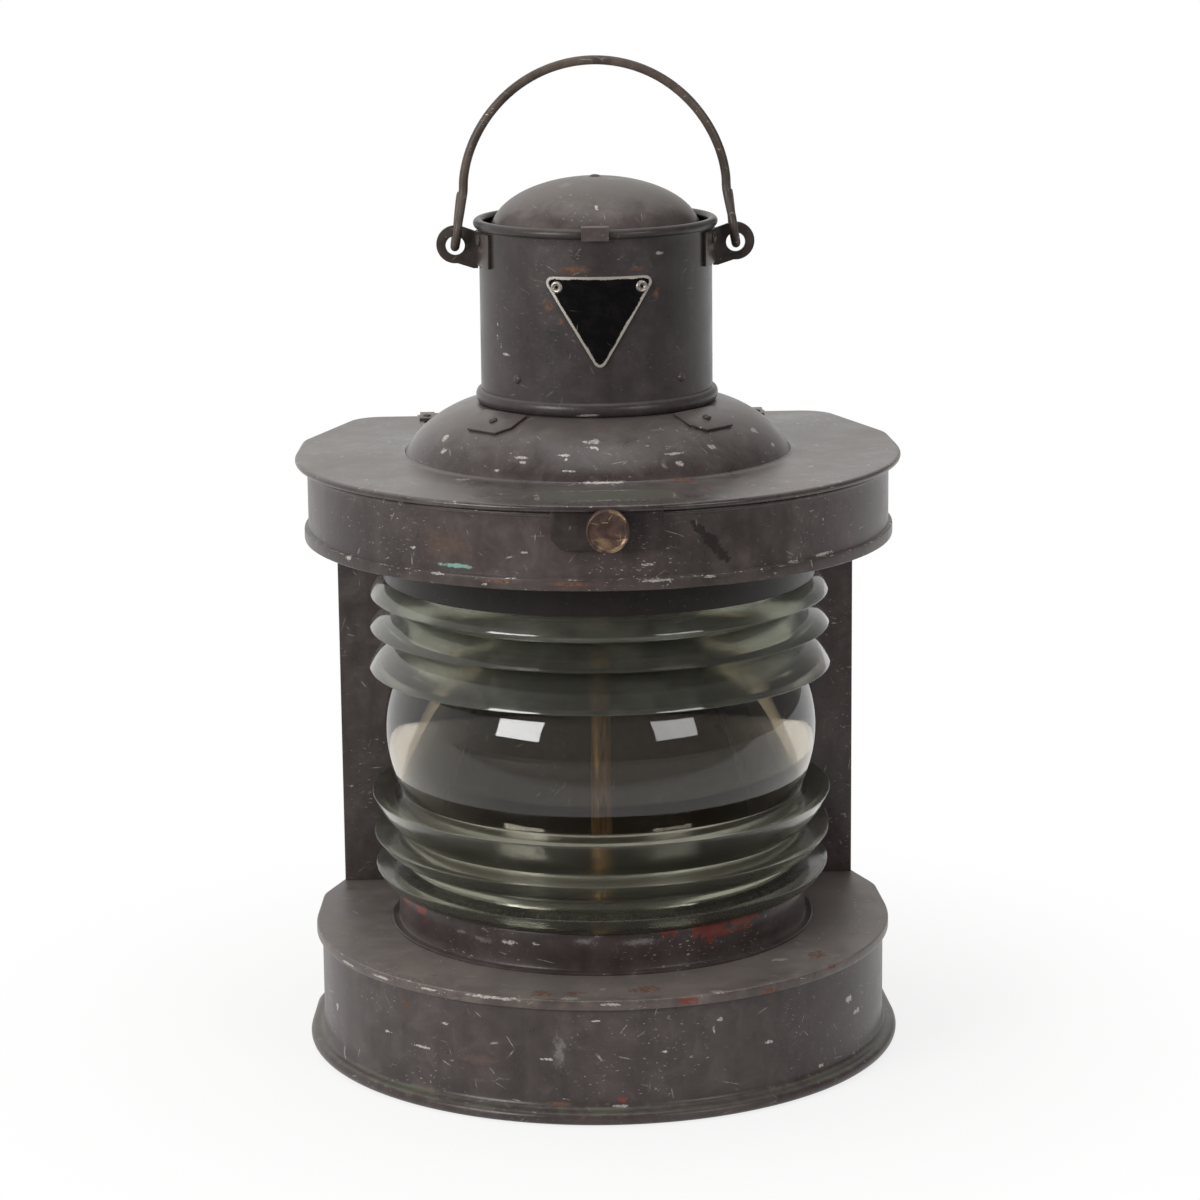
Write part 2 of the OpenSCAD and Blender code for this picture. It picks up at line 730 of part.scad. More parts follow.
module cap_dome() {
    color("#57514e") difference() {
        union() {
            cap_shell(0, sheet, rim_z - 0.2);
            translate([0, 0, rim_z]) rotate_extrude() translate([cap_r - 0.4, 0]) circle(r = 0.8, $fn = 12);
        }
        translate([0, 0, rim_z]) cylinder(r = 2, h = 2 * cap_h);
    }
}

// Strap that runs under the cap from rim to rim, with both ends bent over the rim
module cap_strap() {
    t = 1.2;
    under = sheet + gap;
    foot_z = rim_z - 4.4;
    over_z = rim_z + rim_r + 0.2;
    in_y = sqrt(pow(chimney_r + 0.4 - rim_r, 2) - pow(strap_w / 2 + 2, 2)) - gap - t;
    out_y = chimney_r + 0.4 + rim_r + gap;
    shell_y = cap_r - under;
    offset_x = -2;
    color("#57514e") {
        difference() {
            intersection() {
                cap_shell(under, under + t, foot_z);
                translate([offset_x - strap_w / 2, -2 * cap_r, rim_z - cap_h])
                    cube([strap_w, 4 * cap_r, 3 * cap_h]);
            }
            translate([0, 0, rim_z]) cylinder(r = 2, h = 2 * cap_h);
        }
        for (turn = [0, 180]) translate([offset_x, 0, 0]) rotate([0, 0, turn]) translate([strap_w / 2, 0, 0])
            rotate([90, 0, -90]) linear_extrude(strap_w) polygon([
                [shell_y - 2.6, foot_z],
                [in_y + t, foot_z],
                [in_y + t, over_z],
                [out_y, over_z],
                [out_y, rim_z - 3],
                [out_y + t, rim_z - 3],
                [out_y + t, over_z + t],
                [in_y, over_z + t],
                [in_y, foot_z + t],
                [shell_y - 2.6, foot_z + t]
            ]);
    }
}

module cap_rivet() {
    top = rim_z + cap_h;
    color("#5d5753") {
        translate([0, 0, top]) rivet(3.4, 1.3);
        translate([0, 0, top - 4.2]) cylinder(r = 1.9, h = 4.2);
        translate([0, 0, top - 4.2]) cylinder(r = 3.2, h = 1);
    }
}

// Triangle with round corners, point down, its top edge on the x axis
module rounded_triangle(w, h, r) {
    hull() for (p = [[0, -h + r], [-w / 2 + r, -r], [w / 2 - r, -r]]) translate(p) circle(r = r, $fn = 32);
}

plate_top_z = rim_z - 21.5;

module front_plate() {
    out_r = chimney_r + gap + plate_t;
    color("#1d1c1c") intersection() {
        difference() {
            translate([0, 0, plate_top_z - plate_h - 2]) cylinder(r = out_r, h = plate_h + 4, $fn = 180);
            translate([0, 0, plate_top_z - plate_h - 3]) cylinder(r = chimney_r + gap, h = plate_h + 6, $fn = 180);
        }
        translate([0, 0, plate_top_z]) rotate([90, 0, 0]) linear_extrude(100) difference() {
            rounded_triangle(plate_w, plate_h, 3.4);
            for (x = [-1, 1]) translate([x * (plate_w / 2 - 5.6), -5.4]) circle(r = 1.8);
        }
    }
}

module plate_eyelets() {
    angle = asin((plate_w / 2 - 5.6) / (chimney_r + gap + plate_t / 2));
    color("#9a958c") for (side = [-1, 1]) on_wall(side * angle, chimney_r + gap + plate_t, plate_top_z - 5.4)
        difference() {
            union() {
                rotate_extrude() intersection() {
                    translate([2.2, 0.2]) circle(r = 1, $fn = 24);
                    square(10);
                }
                translate([0, 0, -gap - plate_t]) cylinder(r = 1.4, h = gap + plate_t + 0.4);
            }
            translate([0, 0, -5]) cylinder(r = 1, h = 10);
        }
}

// Ear: a flat eye with a saddle that is bent forwards round the chimney
module ear_shape() {
    saddle_in = chimney_r + 0.05;
    saddle_t = 1.6;
    saddle_angle = 26;
    color("#4f4a47") difference() {
        union() {
            translate([0, ear_t / 2, 0]) rotate([90, 0, 0]) linear_extrude(ear_t) {
                translate([ear_x, ear_z + 0.6]) circle(r = ear_r);
                polygon([
                    [chimney_r + 0.6, ear_z + 7],
                    [ear_x - 4, ear_z + ear_r - 0.1],
                    [ear_x + 6, ear_z - 7],
                    [chimney_r + 3, ear_z - 12],
                    [chimney_r + 0.6, ear_z - 12]
                ]);
            }
            translate([0, 0, ear_z - 9.5]) rotate([0, 0, -saddle_angle])
            rotate_extrude(angle = saddle_angle + 1, $fn = 180) translate([saddle_in, 0]) square([saddle_t, 17.5]);
        }
        translate([ear_x, 20, ear_z]) rotate([90, 0, 0]) cylinder(r = ear_hole_r, h = 40);
        translate([0, 0, ear_z - 40]) cylinder(r = saddle_in, h = 80, $fn = 180);
    }
}

module ear_left() {
    mirror([1, 0, 0]) ear_shape();
}

module ear_right() {
    ear_shape();
}

module ear_rivets() {
    color("#5d5753") for (side = [-1, 1])
        on_wall(side * 77, chimney_r + 1.65, ear_z + 4) rivet(2.4, 1.2);
}

// Middle line of the right half of the bail, from the turned-up tail through the hole to the crown
leg_x = ear_x - 4.6;
arch_z = bail_z + bail_h - wire_r - arch_r;
leg_h = arch_z - bail_z;

// Slant of the leg: its distance from the middle at a height above the pivot
function hang_x(up) = leg_x + (ear_x + 0.1 - leg_x) * (leg_h - up) / (leg_h + loop_r);
function hang_point(share, out, y) = [hang_x(share * leg_h) + out, y, bail_z + share * leg_h];
tail_points = [
    hang_point(1, 0.9, 0.66 * loop_r),
    hang_point(0.75, 0.9, 0.69 * loop_r),
    hang_point(0.5, 0.8, 0.8 * loop_r),
    hang_point(0.25, 0.6, 0.95 * loop_r)
];
loop_points = [for (a = [0:-22.5:-180]) [
    hang_x(loop_r * sin(a)) + 0.1 + 0.2 * cos(a),
    loop_r * cos(a),
    bail_z + loop_r * sin(a)
]];
leg_points = [
    hang_point(0.25, 0.1, -0.92 * loop_r),
    hang_point(0.45, 0, -0.62 * loop_r),
    hang_point(0.65, 0, -0.3 * loop_r),
    hang_point(0.83, 0, -0.09 * loop_r)
];
arch_points = [for (a = [0:6:90]) [
    (arch_r + (leg_x - arch_r) * pow(cos(a), 6)) * cos(a),
    0,
    arch_z + arch_r * sin(a)
]];
right_line = concat(tail_points, loop_points, leg_points, arch_points);
left_line = [for (i = [len(right_line) - 2:-1:0]) [-right_line[i][0], right_line[i][1], right_line[i][2]]];
bail_line = concat(right_line, left_line);

// A direction square to the line, carried along it without twist
function carried(way, side, i) = i == len(way) ? [] :
    let(v = side - (side * way[i]) * way[i], u = v / norm(v)) concat([u], carried(way, u, i + 1));

// Tube with round sides swept along a line of points, each ring square to the line
module swept_wire(points, r, sides) {
    count = len(points);
    way = [for (i = [0:count - 1])
        let(v = points[min(i + 1, count - 1)] - points[max(i - 1, 0)]) v / norm(v)];
    side = carried(way, [0, 1, 0], 0);
    rings = [for (i = [0:count - 1])
        let(other = cross(way[i], side[i]))
        [for (k = [0:sides - 1]) points[i] + r * (cos(360 * k / sides) * side[i] + sin(360 * k / sides) * other)]];
    verts = [for (ring = rings) each ring];
    walls = [for (i = [0:count - 2], k = [0:sides - 1]) let(
        a = i * sides + k,
        b = i * sides + (k + 1) % sides
    ) each [[a, b, b + sides], [a, b + sides, a + sides]]];
    caps = [
        [for (k = [sides - 1:-1:0]) k],
        [for (k = [0:sides - 1]) (count - 1) * sides + k]
    ];
    polyhedron(points = verts, faces = concat(walls, caps), convexity = 6);
}

module bail() {
    color("#5a5049") swept_wire(bail_line, wire_r, 10);
}

// Font: a round brass can with a domed top and a burner collar
collar_h = 6;
font_z = sheet;
font_top_z = font_z + font_h;
burner_z = font_top_z + collar_h;
font_collar_r = 18;
filler_bore_r = filler_r - 1.8;

// Places a child on the axis of the filler, at the top of the font
module at_filler() {
    translate([0, filler_in - font_r, font_top_z]) children();
}

module oil_font() {
    color("#a8883f") difference() {
        rotate_extrude($fn = 144) polygon([
            [0, font_z],
            [font_r - 2, font_z],
            [font_r, font_z + 2],
            [font_r, font_top_z - 10],
            [font_r - 3, font_top_z - 7],
            [font_collar_r + filler_r, font_top_z],
            [font_collar_r, font_top_z],
            [font_collar_r, burner_z],
            [font_collar_r - 4, burner_z],
            [font_collar_r - 4, font_top_z - 4],
            [font_r - 6, font_top_z - 10],
            [font_r - 1.2, font_top_z - 12],
            [font_r - 1.2, font_z + 1.2],
            [0, font_z + 1.2]
        ]);
        at_filler() translate([0, 0, -14]) cylinder(r = filler_r + run_fit, h = 20);
    }
}

// Plain neck soldered into the top of the font
module filler_neck() {
    color("#a8883f") at_filler() translate([0, 0, -10]) difference() {
        cylinder(r = filler_r, h = 12.5);
        translate([0, 0, -1]) cylinder(r = filler_bore_r, h = 15);
    }
}

module font_ring() {
    color("#8f8f8c") translate([0, 0, sheet]) difference() {
        cylinder(r = font_r + gap + 1.4, h = 7);
        translate([0, 0, -1]) cylinder(r = font_r + gap, h = 9);
    }
}

// Screw cap over the filler neck
module filler_cap() {
    cap_out_r = filler_r + 2.5;
    color("#b59549") at_filler() translate([0, 0, -0.5]) difference() {
        union() {
            cylinder(r = cap_out_r, h = 5.6);
            translate([0, 0, 5.6]) cylinder(r1 = cap_out_r, r2 = cap_out_r - 1.9, h = 1);
        }
        translate([0, 0, -1]) cylinder(r = filler_r + gap, h = 4.4);
    }
}

// Burner body with a gallery and a cross bore for the wick wheel shaft
shaft_r = 1.5;
shaft_z = burner_z + 7;
wick_r = tube_r - 0.7 - gap;
wheel_r = 3.3;
shaft_y = -(wick_r + gap + wheel_r);
wheel_w = 3;

// Pocket that the wick wheel turns in
module wheel_pocket() {
    translate([-wheel_w / 2 - gap, shaft_y, shaft_z]) rotate([0, 90, 0])
    cylinder(r = wheel_r + gap, h = wheel_w + 2 * gap);
}

module burner() {
    color("#b0903f") difference() {
        rotate_extrude() polygon([
            [0, burner_z - 4],
            [font_collar_r - 4.4, burner_z - 4],
            [font_collar_r - 4.4, burner_z],
            [gallery_r - 1.5, burner_z],
            [gallery_r, burner_z + 2],
            [gallery_r, burner_z + 3],
            [gallery_r - 7.5, burner_z + 5],
            [gallery_r - 9.5, burner_z + 14],
            [tube_r + 2.2, burner_z + burner_h - 6],
            [tube_r + 1.2, burner_z + burner_h],
            [0, burner_z + burner_h]
        ]);
        translate([0, 0, burner_z - 5]) cylinder(r = tube_r, h = 2 * burner_h);
        translate([-wheel_w / 2 - 2.5, shaft_y, shaft_z]) rotate([0, 90, 0])
        cylinder(r = shaft_r + run_fit, h = gallery_r + wheel_w + 5);
        wheel_pocket();
    }
}

module wick_tube() {
    low = burner_z - 4;
    color("#c0a04c") difference() {
        translate([0, 0, low]) cylinder(r = tube_r, h = tube_top - low);
        translate([0, 0, low - 1]) cylinder(r = tube_r - 0.7, h = tube_top - low + 2);
        wheel_pocket();
    }
}

module wick() {
    low = font_z + 6;
    color("#d8cdb4") translate([0, 0, low]) cylinder(r = wick_r, h = tube_top + 4 - low);
}

// Toothed wheel that presses on the wick, its shaft and its knob outside the burner
module wick_wheel() {
    end_x = 44;
    color("#b59549") translate([0, shaft_y, shaft_z]) rotate([0, 90, 0]) {
        translate([0, 0, -wheel_w / 2 - 2]) cylinder(r = shaft_r, h = end_x + wheel_w / 2 + 2);
        translate([0, 0, -wheel_w / 2]) difference() {
            cylinder(r = wheel_r, h = wheel_w);
            for (a = [0:45:315]) rotate([0, 0, a]) translate([wheel_r + 0.4, 0, -1])
                cylinder(r = 0.9, h = wheel_w + 2, $fn = 16);
        }
        translate([0, 0, end_x - 2]) difference() {
            cylinder(r = wick_knob_r, h = 3.4);
            for (a = [0:20:340]) rotate([0, 0, a]) translate([wick_knob_r + 0.5, 0, -1])
                cylinder(r = 0.9, h = 6, $fn = 16);
        }
    }
}

base_floor();
base_wall();
base_top();
lower_collar();
lens_bed();
lens();
lens_packing();
upper_collar();
lens_stiles();
screen_plate();
back_housing();
skirt_deck();
skirt_band();
latch_stud();
skirt_hinge_leaves();
hinge_pins();
hinge_rivets();
roof_plate();
roof_hinge_leaves();
roof_hinge_rivets();
keeper_plate();
chimney();
chimney_band();
chimney_rivets();
dome_lugs();
lug_rivets();
cap_dome();
cap_strap();
cap_rivet();
front_plate();
plate_eyelets();
ear_left();
ear_right();
ear_rivets();
bail();
latch_knob();
oil_font();
font_ring();
filler_neck();
filler_cap();
burner();
wick_tube();
wick();
wick_wheel();
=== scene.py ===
"""Looks of the ship's masthead lantern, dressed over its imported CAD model. Lengths are in millimetres until a mesh is made."""
import math

import bmesh
import bpy
import numpy as np
from mathutils import Matrix, Vector


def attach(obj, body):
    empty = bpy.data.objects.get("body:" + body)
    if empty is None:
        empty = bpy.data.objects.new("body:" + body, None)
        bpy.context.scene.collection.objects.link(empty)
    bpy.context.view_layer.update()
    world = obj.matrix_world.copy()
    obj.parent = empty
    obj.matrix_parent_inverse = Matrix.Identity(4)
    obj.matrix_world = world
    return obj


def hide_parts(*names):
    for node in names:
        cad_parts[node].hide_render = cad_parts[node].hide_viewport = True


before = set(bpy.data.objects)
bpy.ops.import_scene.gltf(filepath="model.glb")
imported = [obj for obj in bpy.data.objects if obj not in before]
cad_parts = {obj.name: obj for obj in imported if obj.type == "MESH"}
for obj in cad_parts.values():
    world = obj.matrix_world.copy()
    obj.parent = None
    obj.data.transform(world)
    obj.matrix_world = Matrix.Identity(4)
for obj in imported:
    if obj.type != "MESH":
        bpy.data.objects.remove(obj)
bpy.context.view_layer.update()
MM = 0.001
scene = bpy.context.scene

# Camera of the photograph
PHOTO_WIDTH, FOCAL_PIXELS = 1200, 3714
CAMERA_REACH, CAMERA_HEIGHT, CAMERA_SIDE = 1.940, 0.6576, 0.0004
YAW, PITCH, ROLL = math.radians(-1.6), math.radians(12.19), math.radians(-0.6)


def place_camera():
    lens = bpy.data.cameras.new("camera")
    lens.sensor_width = 36
    lens.lens = FOCAL_PIXELS * lens.sensor_width / PHOTO_WIDTH
    lens.clip_start, lens.clip_end = 0.05, 60
    camera = bpy.data.objects.new("camera", lens)
    scene.collection.objects.link(camera)
    up = Vector((0, 0, 1))
    forward = Vector((-math.sin(YAW), math.cos(YAW), 0))
    right = Vector((math.cos(YAW), math.sin(YAW), 0))
    look = forward * math.cos(PITCH) - up * math.sin(PITCH)
    lift = up * math.cos(PITCH) + forward * math.sin(PITCH)
    side = right * math.cos(ROLL) + lift * math.sin(ROLL)
    rise = lift * math.cos(ROLL) - right * math.sin(ROLL)
    spot = Vector((CAMERA_REACH * math.sin(YAW), -CAMERA_REACH * math.cos(YAW), CAMERA_HEIGHT)) + right * CAMERA_SIDE
    camera.matrix_world = Matrix((
        (side.x, rise.x, -look.x, spot.x), (side.y, rise.y, -look.y, spot.y),
        (side.z, rise.z, -look.z, spot.z), (0, 0, 0, 1)))
    scene.camera = camera


place_camera()


class Wire:
    """An output of a shader node. Arithmetic on it adds Math nodes to its material."""

    def __init__(self, finish, socket):
        self.finish, self.socket = finish, socket

    def maths(self, operation, *values):
        return self.finish.node("ShaderNodeMath", {"operation": operation}, dict(enumerate(values)))

    def __add__(self, other):
        return self.maths("ADD", self, other)

    __radd__ = __add__

    def __mul__(self, other):
        return self.maths("MULTIPLY", self, other)

    __rmul__ = __mul__

    def __sub__(self, other):
        return self.maths("SUBTRACT", self, other)

    def __rsub__(self, other):
        return self.maths("SUBTRACT", other, self)

    def __abs__(self):
        return self.maths("ABSOLUTE", self)

    def __or__(self, other):
        return self.maths("MAXIMUM", self, other)


def tone(code):
    """Linear colour of a hex code."""
    parts = [int(code[i:i + 2], 16) / 255 for i in (0, 2, 4)]
    return tuple(c / 12.92 if c <= 0.04045 else ((c + 0.055) / 1.055) ** 2.4 for c in parts) + (1,)


def find(sockets, key):
    return sockets[key] if isinstance(key, int) else next(s for s in sockets if key in (s.identifier, s.name))


class Finish:
    """A surface finish while its nodes are laid out."""

    def __init__(self, name):
        self.material = bpy.data.materials.new(name)
        self.material.use_nodes = True
        self.tree = self.material.node_tree
        self.tree.nodes.clear()
        self.place = self.node("ShaderNodeTexCoord", output="Object")

    def node(self, kind, settings=None, inputs=None, output=0):
        made = self.tree.nodes.new(kind)
        for name, value in (settings or {}).items():
            setattr(made, name, value)
        for key, value in (inputs or {}).items():
            if isinstance(value, Wire):
                self.tree.links.new(value.socket, find(made.inputs, key))
            else:
                find(made.inputs, key).default_value = value
        return Wire(self, find(made.outputs, output))

    def turned(self, scale, turn=(0, 0, 0), shift=(0, 0, 0)):
        return self.node("ShaderNodeMapping", inputs={
            "Vector": self.place, "Location": shift, "Rotation": turn, "Scale": scale})

    def noise(self, scale, detail=3.0, rough=0.55, warp=0.0, at=None):
        return self.node("ShaderNodeTexNoise", inputs={
            "Vector": at or self.place, "Scale": scale, "Detail": detail, "Roughness": rough, "Distortion": warp})

    def cells(self, scale, output="Distance", at=None):
        return self.node("ShaderNodeTexVoronoi", inputs={"Vector": at or self.place, "Scale": scale}, output=output)

    def ramp(self, value, low, high, bottom=0.0, top=1.0):
        return self.node("ShaderNodeMapRange", {"interpolation_type": "SMOOTHSTEP"}, {
            "Value": value, "From Min": low, "From Max": high, "To Min": bottom, "To Max": top})

    def mix(self, share, first, second):
        return self.node("ShaderNodeMix", {"data_type": "RGBA"}, {
            "Factor_Float": share, "A_Color": first, "B_Color": second}, "Result_Color")

    def field(self, name):
        return self.node("ShaderNodeAttribute", {"attribute_name": name}, output="Fac")

    def facing_up(self):
        """1 on faces that look up, 0 on upright ones."""
        normal = self.node("ShaderNodeNewGeometry", output="Normal")
        return self.ramp(self.node("ShaderNodeSeparateXYZ", inputs={0: normal}, output="Z"), 0.35, 0.95)

    def vector(self, operation, first, second=(0, 0, 0), output="Vector"):
        return self.node("ShaderNodeVectorMath", {"operation": operation}, {0: first, 1: second}, output)

    def scratches(self, reach, width, low, high, shift=0.0):
        """Short straight scratches, one to a cell and each its own way, kept to some places by a broad noise."""
        at = self.turned((1, 1, 1), (0.3 + shift, 0.7, shift), (shift, 0.1, 0.2))
        spot = self.cells(0.5 / reach, "Position", at)
        lot = Wire(self, find(spot.socket.node.outputs, "Color"))
        away = self.vector("SUBTRACT", at, spot)
        way = self.vector("NORMALIZE", self.vector("SUBTRACT", lot, (0.5, 0.5, 0.5)))
        line = 1 - self.ramp(abs(self.vector("DOT_PRODUCT", away, way, "Value")), width * 0.35, width)
        held = 1 - self.ramp(self.vector("LENGTH", away, output="Value"), reach * 0.4, reach * 0.9)
        return line * held * self.ramp(self.noise(45 + 20 * shift, 2.0), low, high)

    def marks(self, places, soft):
        """1 inside ragged patches, each its middle and its half sizes in millimetres, 0 away from them."""
        shake = self.vector("MULTIPLY", self.vector("SUBTRACT", self.noise_colour(260), (0.5, 0.5, 0.5)), (0.007, 0.007, 0.0008))
        at = self.vector("ADD", self.place, shake)
        nearest = None
        for x, y, z, wide, deep, tall in places:
            away = self.vector("SUBTRACT", at, (x * MM, y * MM, z * MM))
            away = self.vector("MULTIPLY", away, (1 / wide / MM, 1 / deep / MM, 1 / tall / MM))
            reach = self.vector("LENGTH", away, output="Value")
            nearest = reach if nearest is None else nearest.maths("MINIMUM", nearest, reach)
        return 1 - self.ramp(nearest + (self.noise(420, 3.0, 0.7) - 0.5) * 2.0, 0.85 - soft, 0.85 + soft * 0.4)

    def noise_colour(self, scale):
        return self.node("ShaderNodeTexNoise", inputs={"Vector": self.place, "Scale": scale, "Detail": 3.0}, output="Color")

    def relief(self, height):
        """Normal of a relief whose height is in metres."""
        return self.node("ShaderNodeBump", inputs={"Strength": 1.0, "Distance": 1.0, "Height": height})

    def surface(self, **inputs):
        return self.node("ShaderNodeBsdfPrincipled", inputs={
            key.replace("_", " "): value for key, value in inputs.items()})

    def done(self, shader):
        out = self.tree.nodes.new("ShaderNodeOutputMaterial")
        self.tree.links.new(shader.socket, out.inputs["Surface"])
        return self.material


# Marks on the paint by finish and kind, each its middle x, y, z and its half sizes in millimetres
MARKS = {
    "skirt_paint": {
        "smudge": [(-78.6, -132, 296, 18.7, 18.7, 9.9)],
        "teal": [(-74.6, -134.3, 286.2, 11.9, 11.9, 1.3)],
        "chip": [(-129.4, -86.9, 281.3, 2.7, 2.7, 1.6), (-60.3, -143.7, 278.4, 2.3, 2.3, 0.8),
                 (-96, -120, 292.8, 3.4, 3.4, 0.8), (-41.4, -148, 295, 2.2, 2.2, 0.8),
                 (19.9, -152.4, 288.9, 3.2, 3.2, 0.8), (94.1, -121.5, 282.9, 4.2, 4.2, 0.8),
                 (110.2, -107.1, 283.5, 8.1, 8.1, 1.1), (24.7, -153.9, 281.1, 9.5, 9.5, 0.8),
                 (49.7, -147.7, 281.4, 4.4, 4.4, 0.8), (-83.6, -131.5, 281.7, 4.9, 4.9, 0.8)],
        "rust": [(-53.4, -146.4, 280.3, 11.7, 11.7, 1.3), (-18.6, -154.8, 280, 15.8, 15.8, 1.3)],
        "tar": [(41.9, -147.8, 308.9, 2.0, 2.0, 1.6), (43.7, -147.3, 306.8, 2.4, 2.4, 1.9), (45.4, -146.8, 304.7, 2.8, 2.8, 2.2),
                (47.2, -146.2, 303.0, 3.3, 3.3, 2.7), (48.9, -145.7, 301.4, 3.9, 3.9, 3.1), (50.4, -145.2, 299.7, 4.2, 4.2, 3.3),
                (51.9, -144.7, 298.1, 4.4, 4.4, 3.5), (53.2, -144.2, 296.5, 4.1, 4.1, 3.3), (54.4, -143.7, 294.9, 3.8, 3.8, 3.0),
                (55.7, -143.2, 293.2, 3.5, 3.5, 2.8), (57.0, -142.7, 291.6, 3.2, 3.2, 2.6), (58.2, -142.2, 290.0, 2.7, 2.7, 2.2),
                (59.5, -141.7, 288.3, 2.2, 2.2, 1.8)],
    },
    "roof_paint": {
        "chip": [(0, -119.4, 320.4, 33, 0.7, 1.6), (0, -145.6, 320.4, 33, 0.6, 1.6), (-34, -132, 320.4, 0.7, 13, 1.6),
                 (34, -132, 320.4, 0.6, 13, 1.6), (0.2, -101.5, 320.9, 13, 13, 0.8), (-80.1, -42.5, 334.5, 2.2, 3.1, 2.2),
                 (-80.9, -51.5, 329.5, 2, 2.4, 2.1), (-41, -84.7, 331.3, 4.7, 5.5, 0.8),
                 (-39.8, -87.5, 329.2, 2, 2.3, 0.8), (-19.5, -90.3, 333, 3.7, 4.3, 0.8),
                 (-18.1, -92.4, 331.3, 1.4, 1.6, 0.8), (-54.3, -83.5, 324.6, 2.4, 2.8, 0.8),
                 (-4.9, -84.5, 338.9, 4.7, 1.5, 2.2), (-4.6, -88.6, 336, 1.5, 2.2, 2.2),
                 (36.6, -85.6, 332.3, 4.6, 5.4, 0.8), (39.1, -89.1, 327.8, 2, 2.3, 1.9),
                 (56.6, -72.5, 333.3, 3.3, 1.5, 2.2), (80.5, -38.7, 335.6, 1.5, 4, 2.2),
                 (89.7, -37.7, 327.9, 1.8, 2.1, 1.9), (-71.1, -82.1, 320.4, 3.9, 2.7, 1.6),
                 (-16.8, -97.2, 326.2, 4.5, 5.3, 0.5)],
        "rust": [(40.8, -94.6, 320.4, 8.3, 4.4, 1.6), (51.7, -116.4, 320.4, 4.2, 3.5, 1.6)],
    },
    "base_top_paint": {
        "rust": [(-34.8, -140.6, 65.7, 7.6, 6.2, 1.6), (-18.8, -140.8, 65.7, 6.2, 3.5, 1.6),
                 (17.8, -138.2, 65.7, 10.4, 7.1, 1.6), (80.9, -132.2, 61.3, 8.6, 8.6, 1.9),
                 (109.3, -84.6, 65.7, 5.5, 8, 1.6), (115.8, -103, 64.3, 5.4, 5.4, 1.1)],
        "red": [(39.1, -150, 62.9, 6.5, 6.5, 2.1)],
        "chip": [(40.9, -149.5, 62.5, 2.4, 2.4, 0.8), (-61.4, -142.3, 64.3, 17.1, 17.1, 0.8),
                 (-21.3, -149.5, 65.7, 6, 2.7, 1.6), (-135.7, -74.8, 62.1, 8.3, 8.3, 0.8),
                 (-117.2, -101.4, 62.7, 8.1, 8.1, 0.8), (-92, -124.7, 63.3, 6.5, 6.5, 0.8),
                 (89.6, -91.9, 65.7, 5.2, 2.7, 1.6), (-0.5, -155, 63.5, 5.7, 5.7, 0.8),
                 (54.7, -142.9, 65.7, 5.7, 2.7, 1.6)],
        "pale": [(101.2, -65, 65.7, 3.1, 4.4, 1.6)],
    },
    "body_paint": {
        "rust": [(-105.4, -109.5, 51.4, 5, 5, 1.6), (-26.8, -149.6, 9.6, 6.4, 6.4, 1.3)],
        "smudge": [(-67.8, -136, 29.2, 13.7, 13.7, 3), (-67, -136.4, 18.3, 5.6, 5.6, 1.1)],
        "pale": [(-26.9, -149.6, 37.6, 3.2, 3.2, 10.2)],
        "chip": [(-96.9, -117.1, 30.2, 6.2, 6.2, 0.8), (-142.9, -51.7, 31, 2.6, 2.6, 2.4),
                 (52.1, -142.8, 45.4, 1.1, 1.1, 3.8), (55.7, -141.4, 50.2, 1.7, 1.7, 1.6),
                 (126.5, -84.2, 40.5, 2.9, 2.9, 2.1), (131.5, -76.1, 31.1, 3.1, 3.1, 1.6),
                 (110.3, -104.5, 11.5, 2.6, 2.6, 1.1), (4.1, -151.9, 8.7, 4.7, 4.7, 0.8),
                 (-32.5, -148.5, 32.8, 4.3, 4.3, 0.8), (-114.8, -99.6, 32.8, 3.2, 3.2, 0.8),
                 (26.3, -149.7, 36.3, 2.1, 2.1, 0.8), (80.9, -128.7, 33, 2.2, 2.2, 1.1),
                 (-8.1, -151.7, 53.9, 3.1, 3.1, 0.5), (-84.2, -126.5, 45.6, 3.7, 3.7, 0.8)],
        "red": [(4.7, -151.9, 11.6, 3.1, 3.1, 1.6)],
    },
    "chimney_paint": {
        "chip": [(-52, -31.8, 389.1, 0.6, 0.6, 5.4), (-50.4, -34.4, 381.5, 0.7, 0.7, 3), (-47.8, -37.8, 377.2, 3.4, 3.4, 0.8),
                 (31.1, -52.4, 430.3, 3.4, 3.4, 1.1), (-6.5, -62.8, 348.7, 5.8, 5.8, 0.8)],
        "rust": [(-12.7, -59.6, 423.1, 9.6, 9.6, 2.1), (19.6, -57.7, 423, 4.2, 4.2, 1.6),
                 (29.2, -53.6, 410, 2.4, 2.4, 3.8), (-26.1, -55.1, 404.3, 2.3, 2.3, 3.2),
                 (-19.6, -57.7, 396.4, 2.7, 2.7, 2.1)],
    },
    "cap_paint": {
        "chip": [(-0.3, -44.5, 452.9, 1.3, 2.2, 1.4)],
        "pale": [(-15.9, -17.1, 462, 4.5, 5, 3), (8.2, -7.9, 464.1, 5.7, 4.4, 3)],
    },
    "collar_paint": {
        "pale": [(-75.4, -80, 79.8, 5.4, 5.4, 1.1), (-64.7, -88.9, 78.3, 5.7, 5.7, 1.9),
                 (-13, -109.2, 82.5, 6, 6, 1.9), (16.1, -108.8, 81.6, 11.1, 11.1, 2.1)],
        "chip": [(-50.8, -97.6, 79.1, 4.7, 4.7, 1.3)],
        "red": [(60.5, -91.9, 80.8, 13, 13, 2.1)],
    },
}


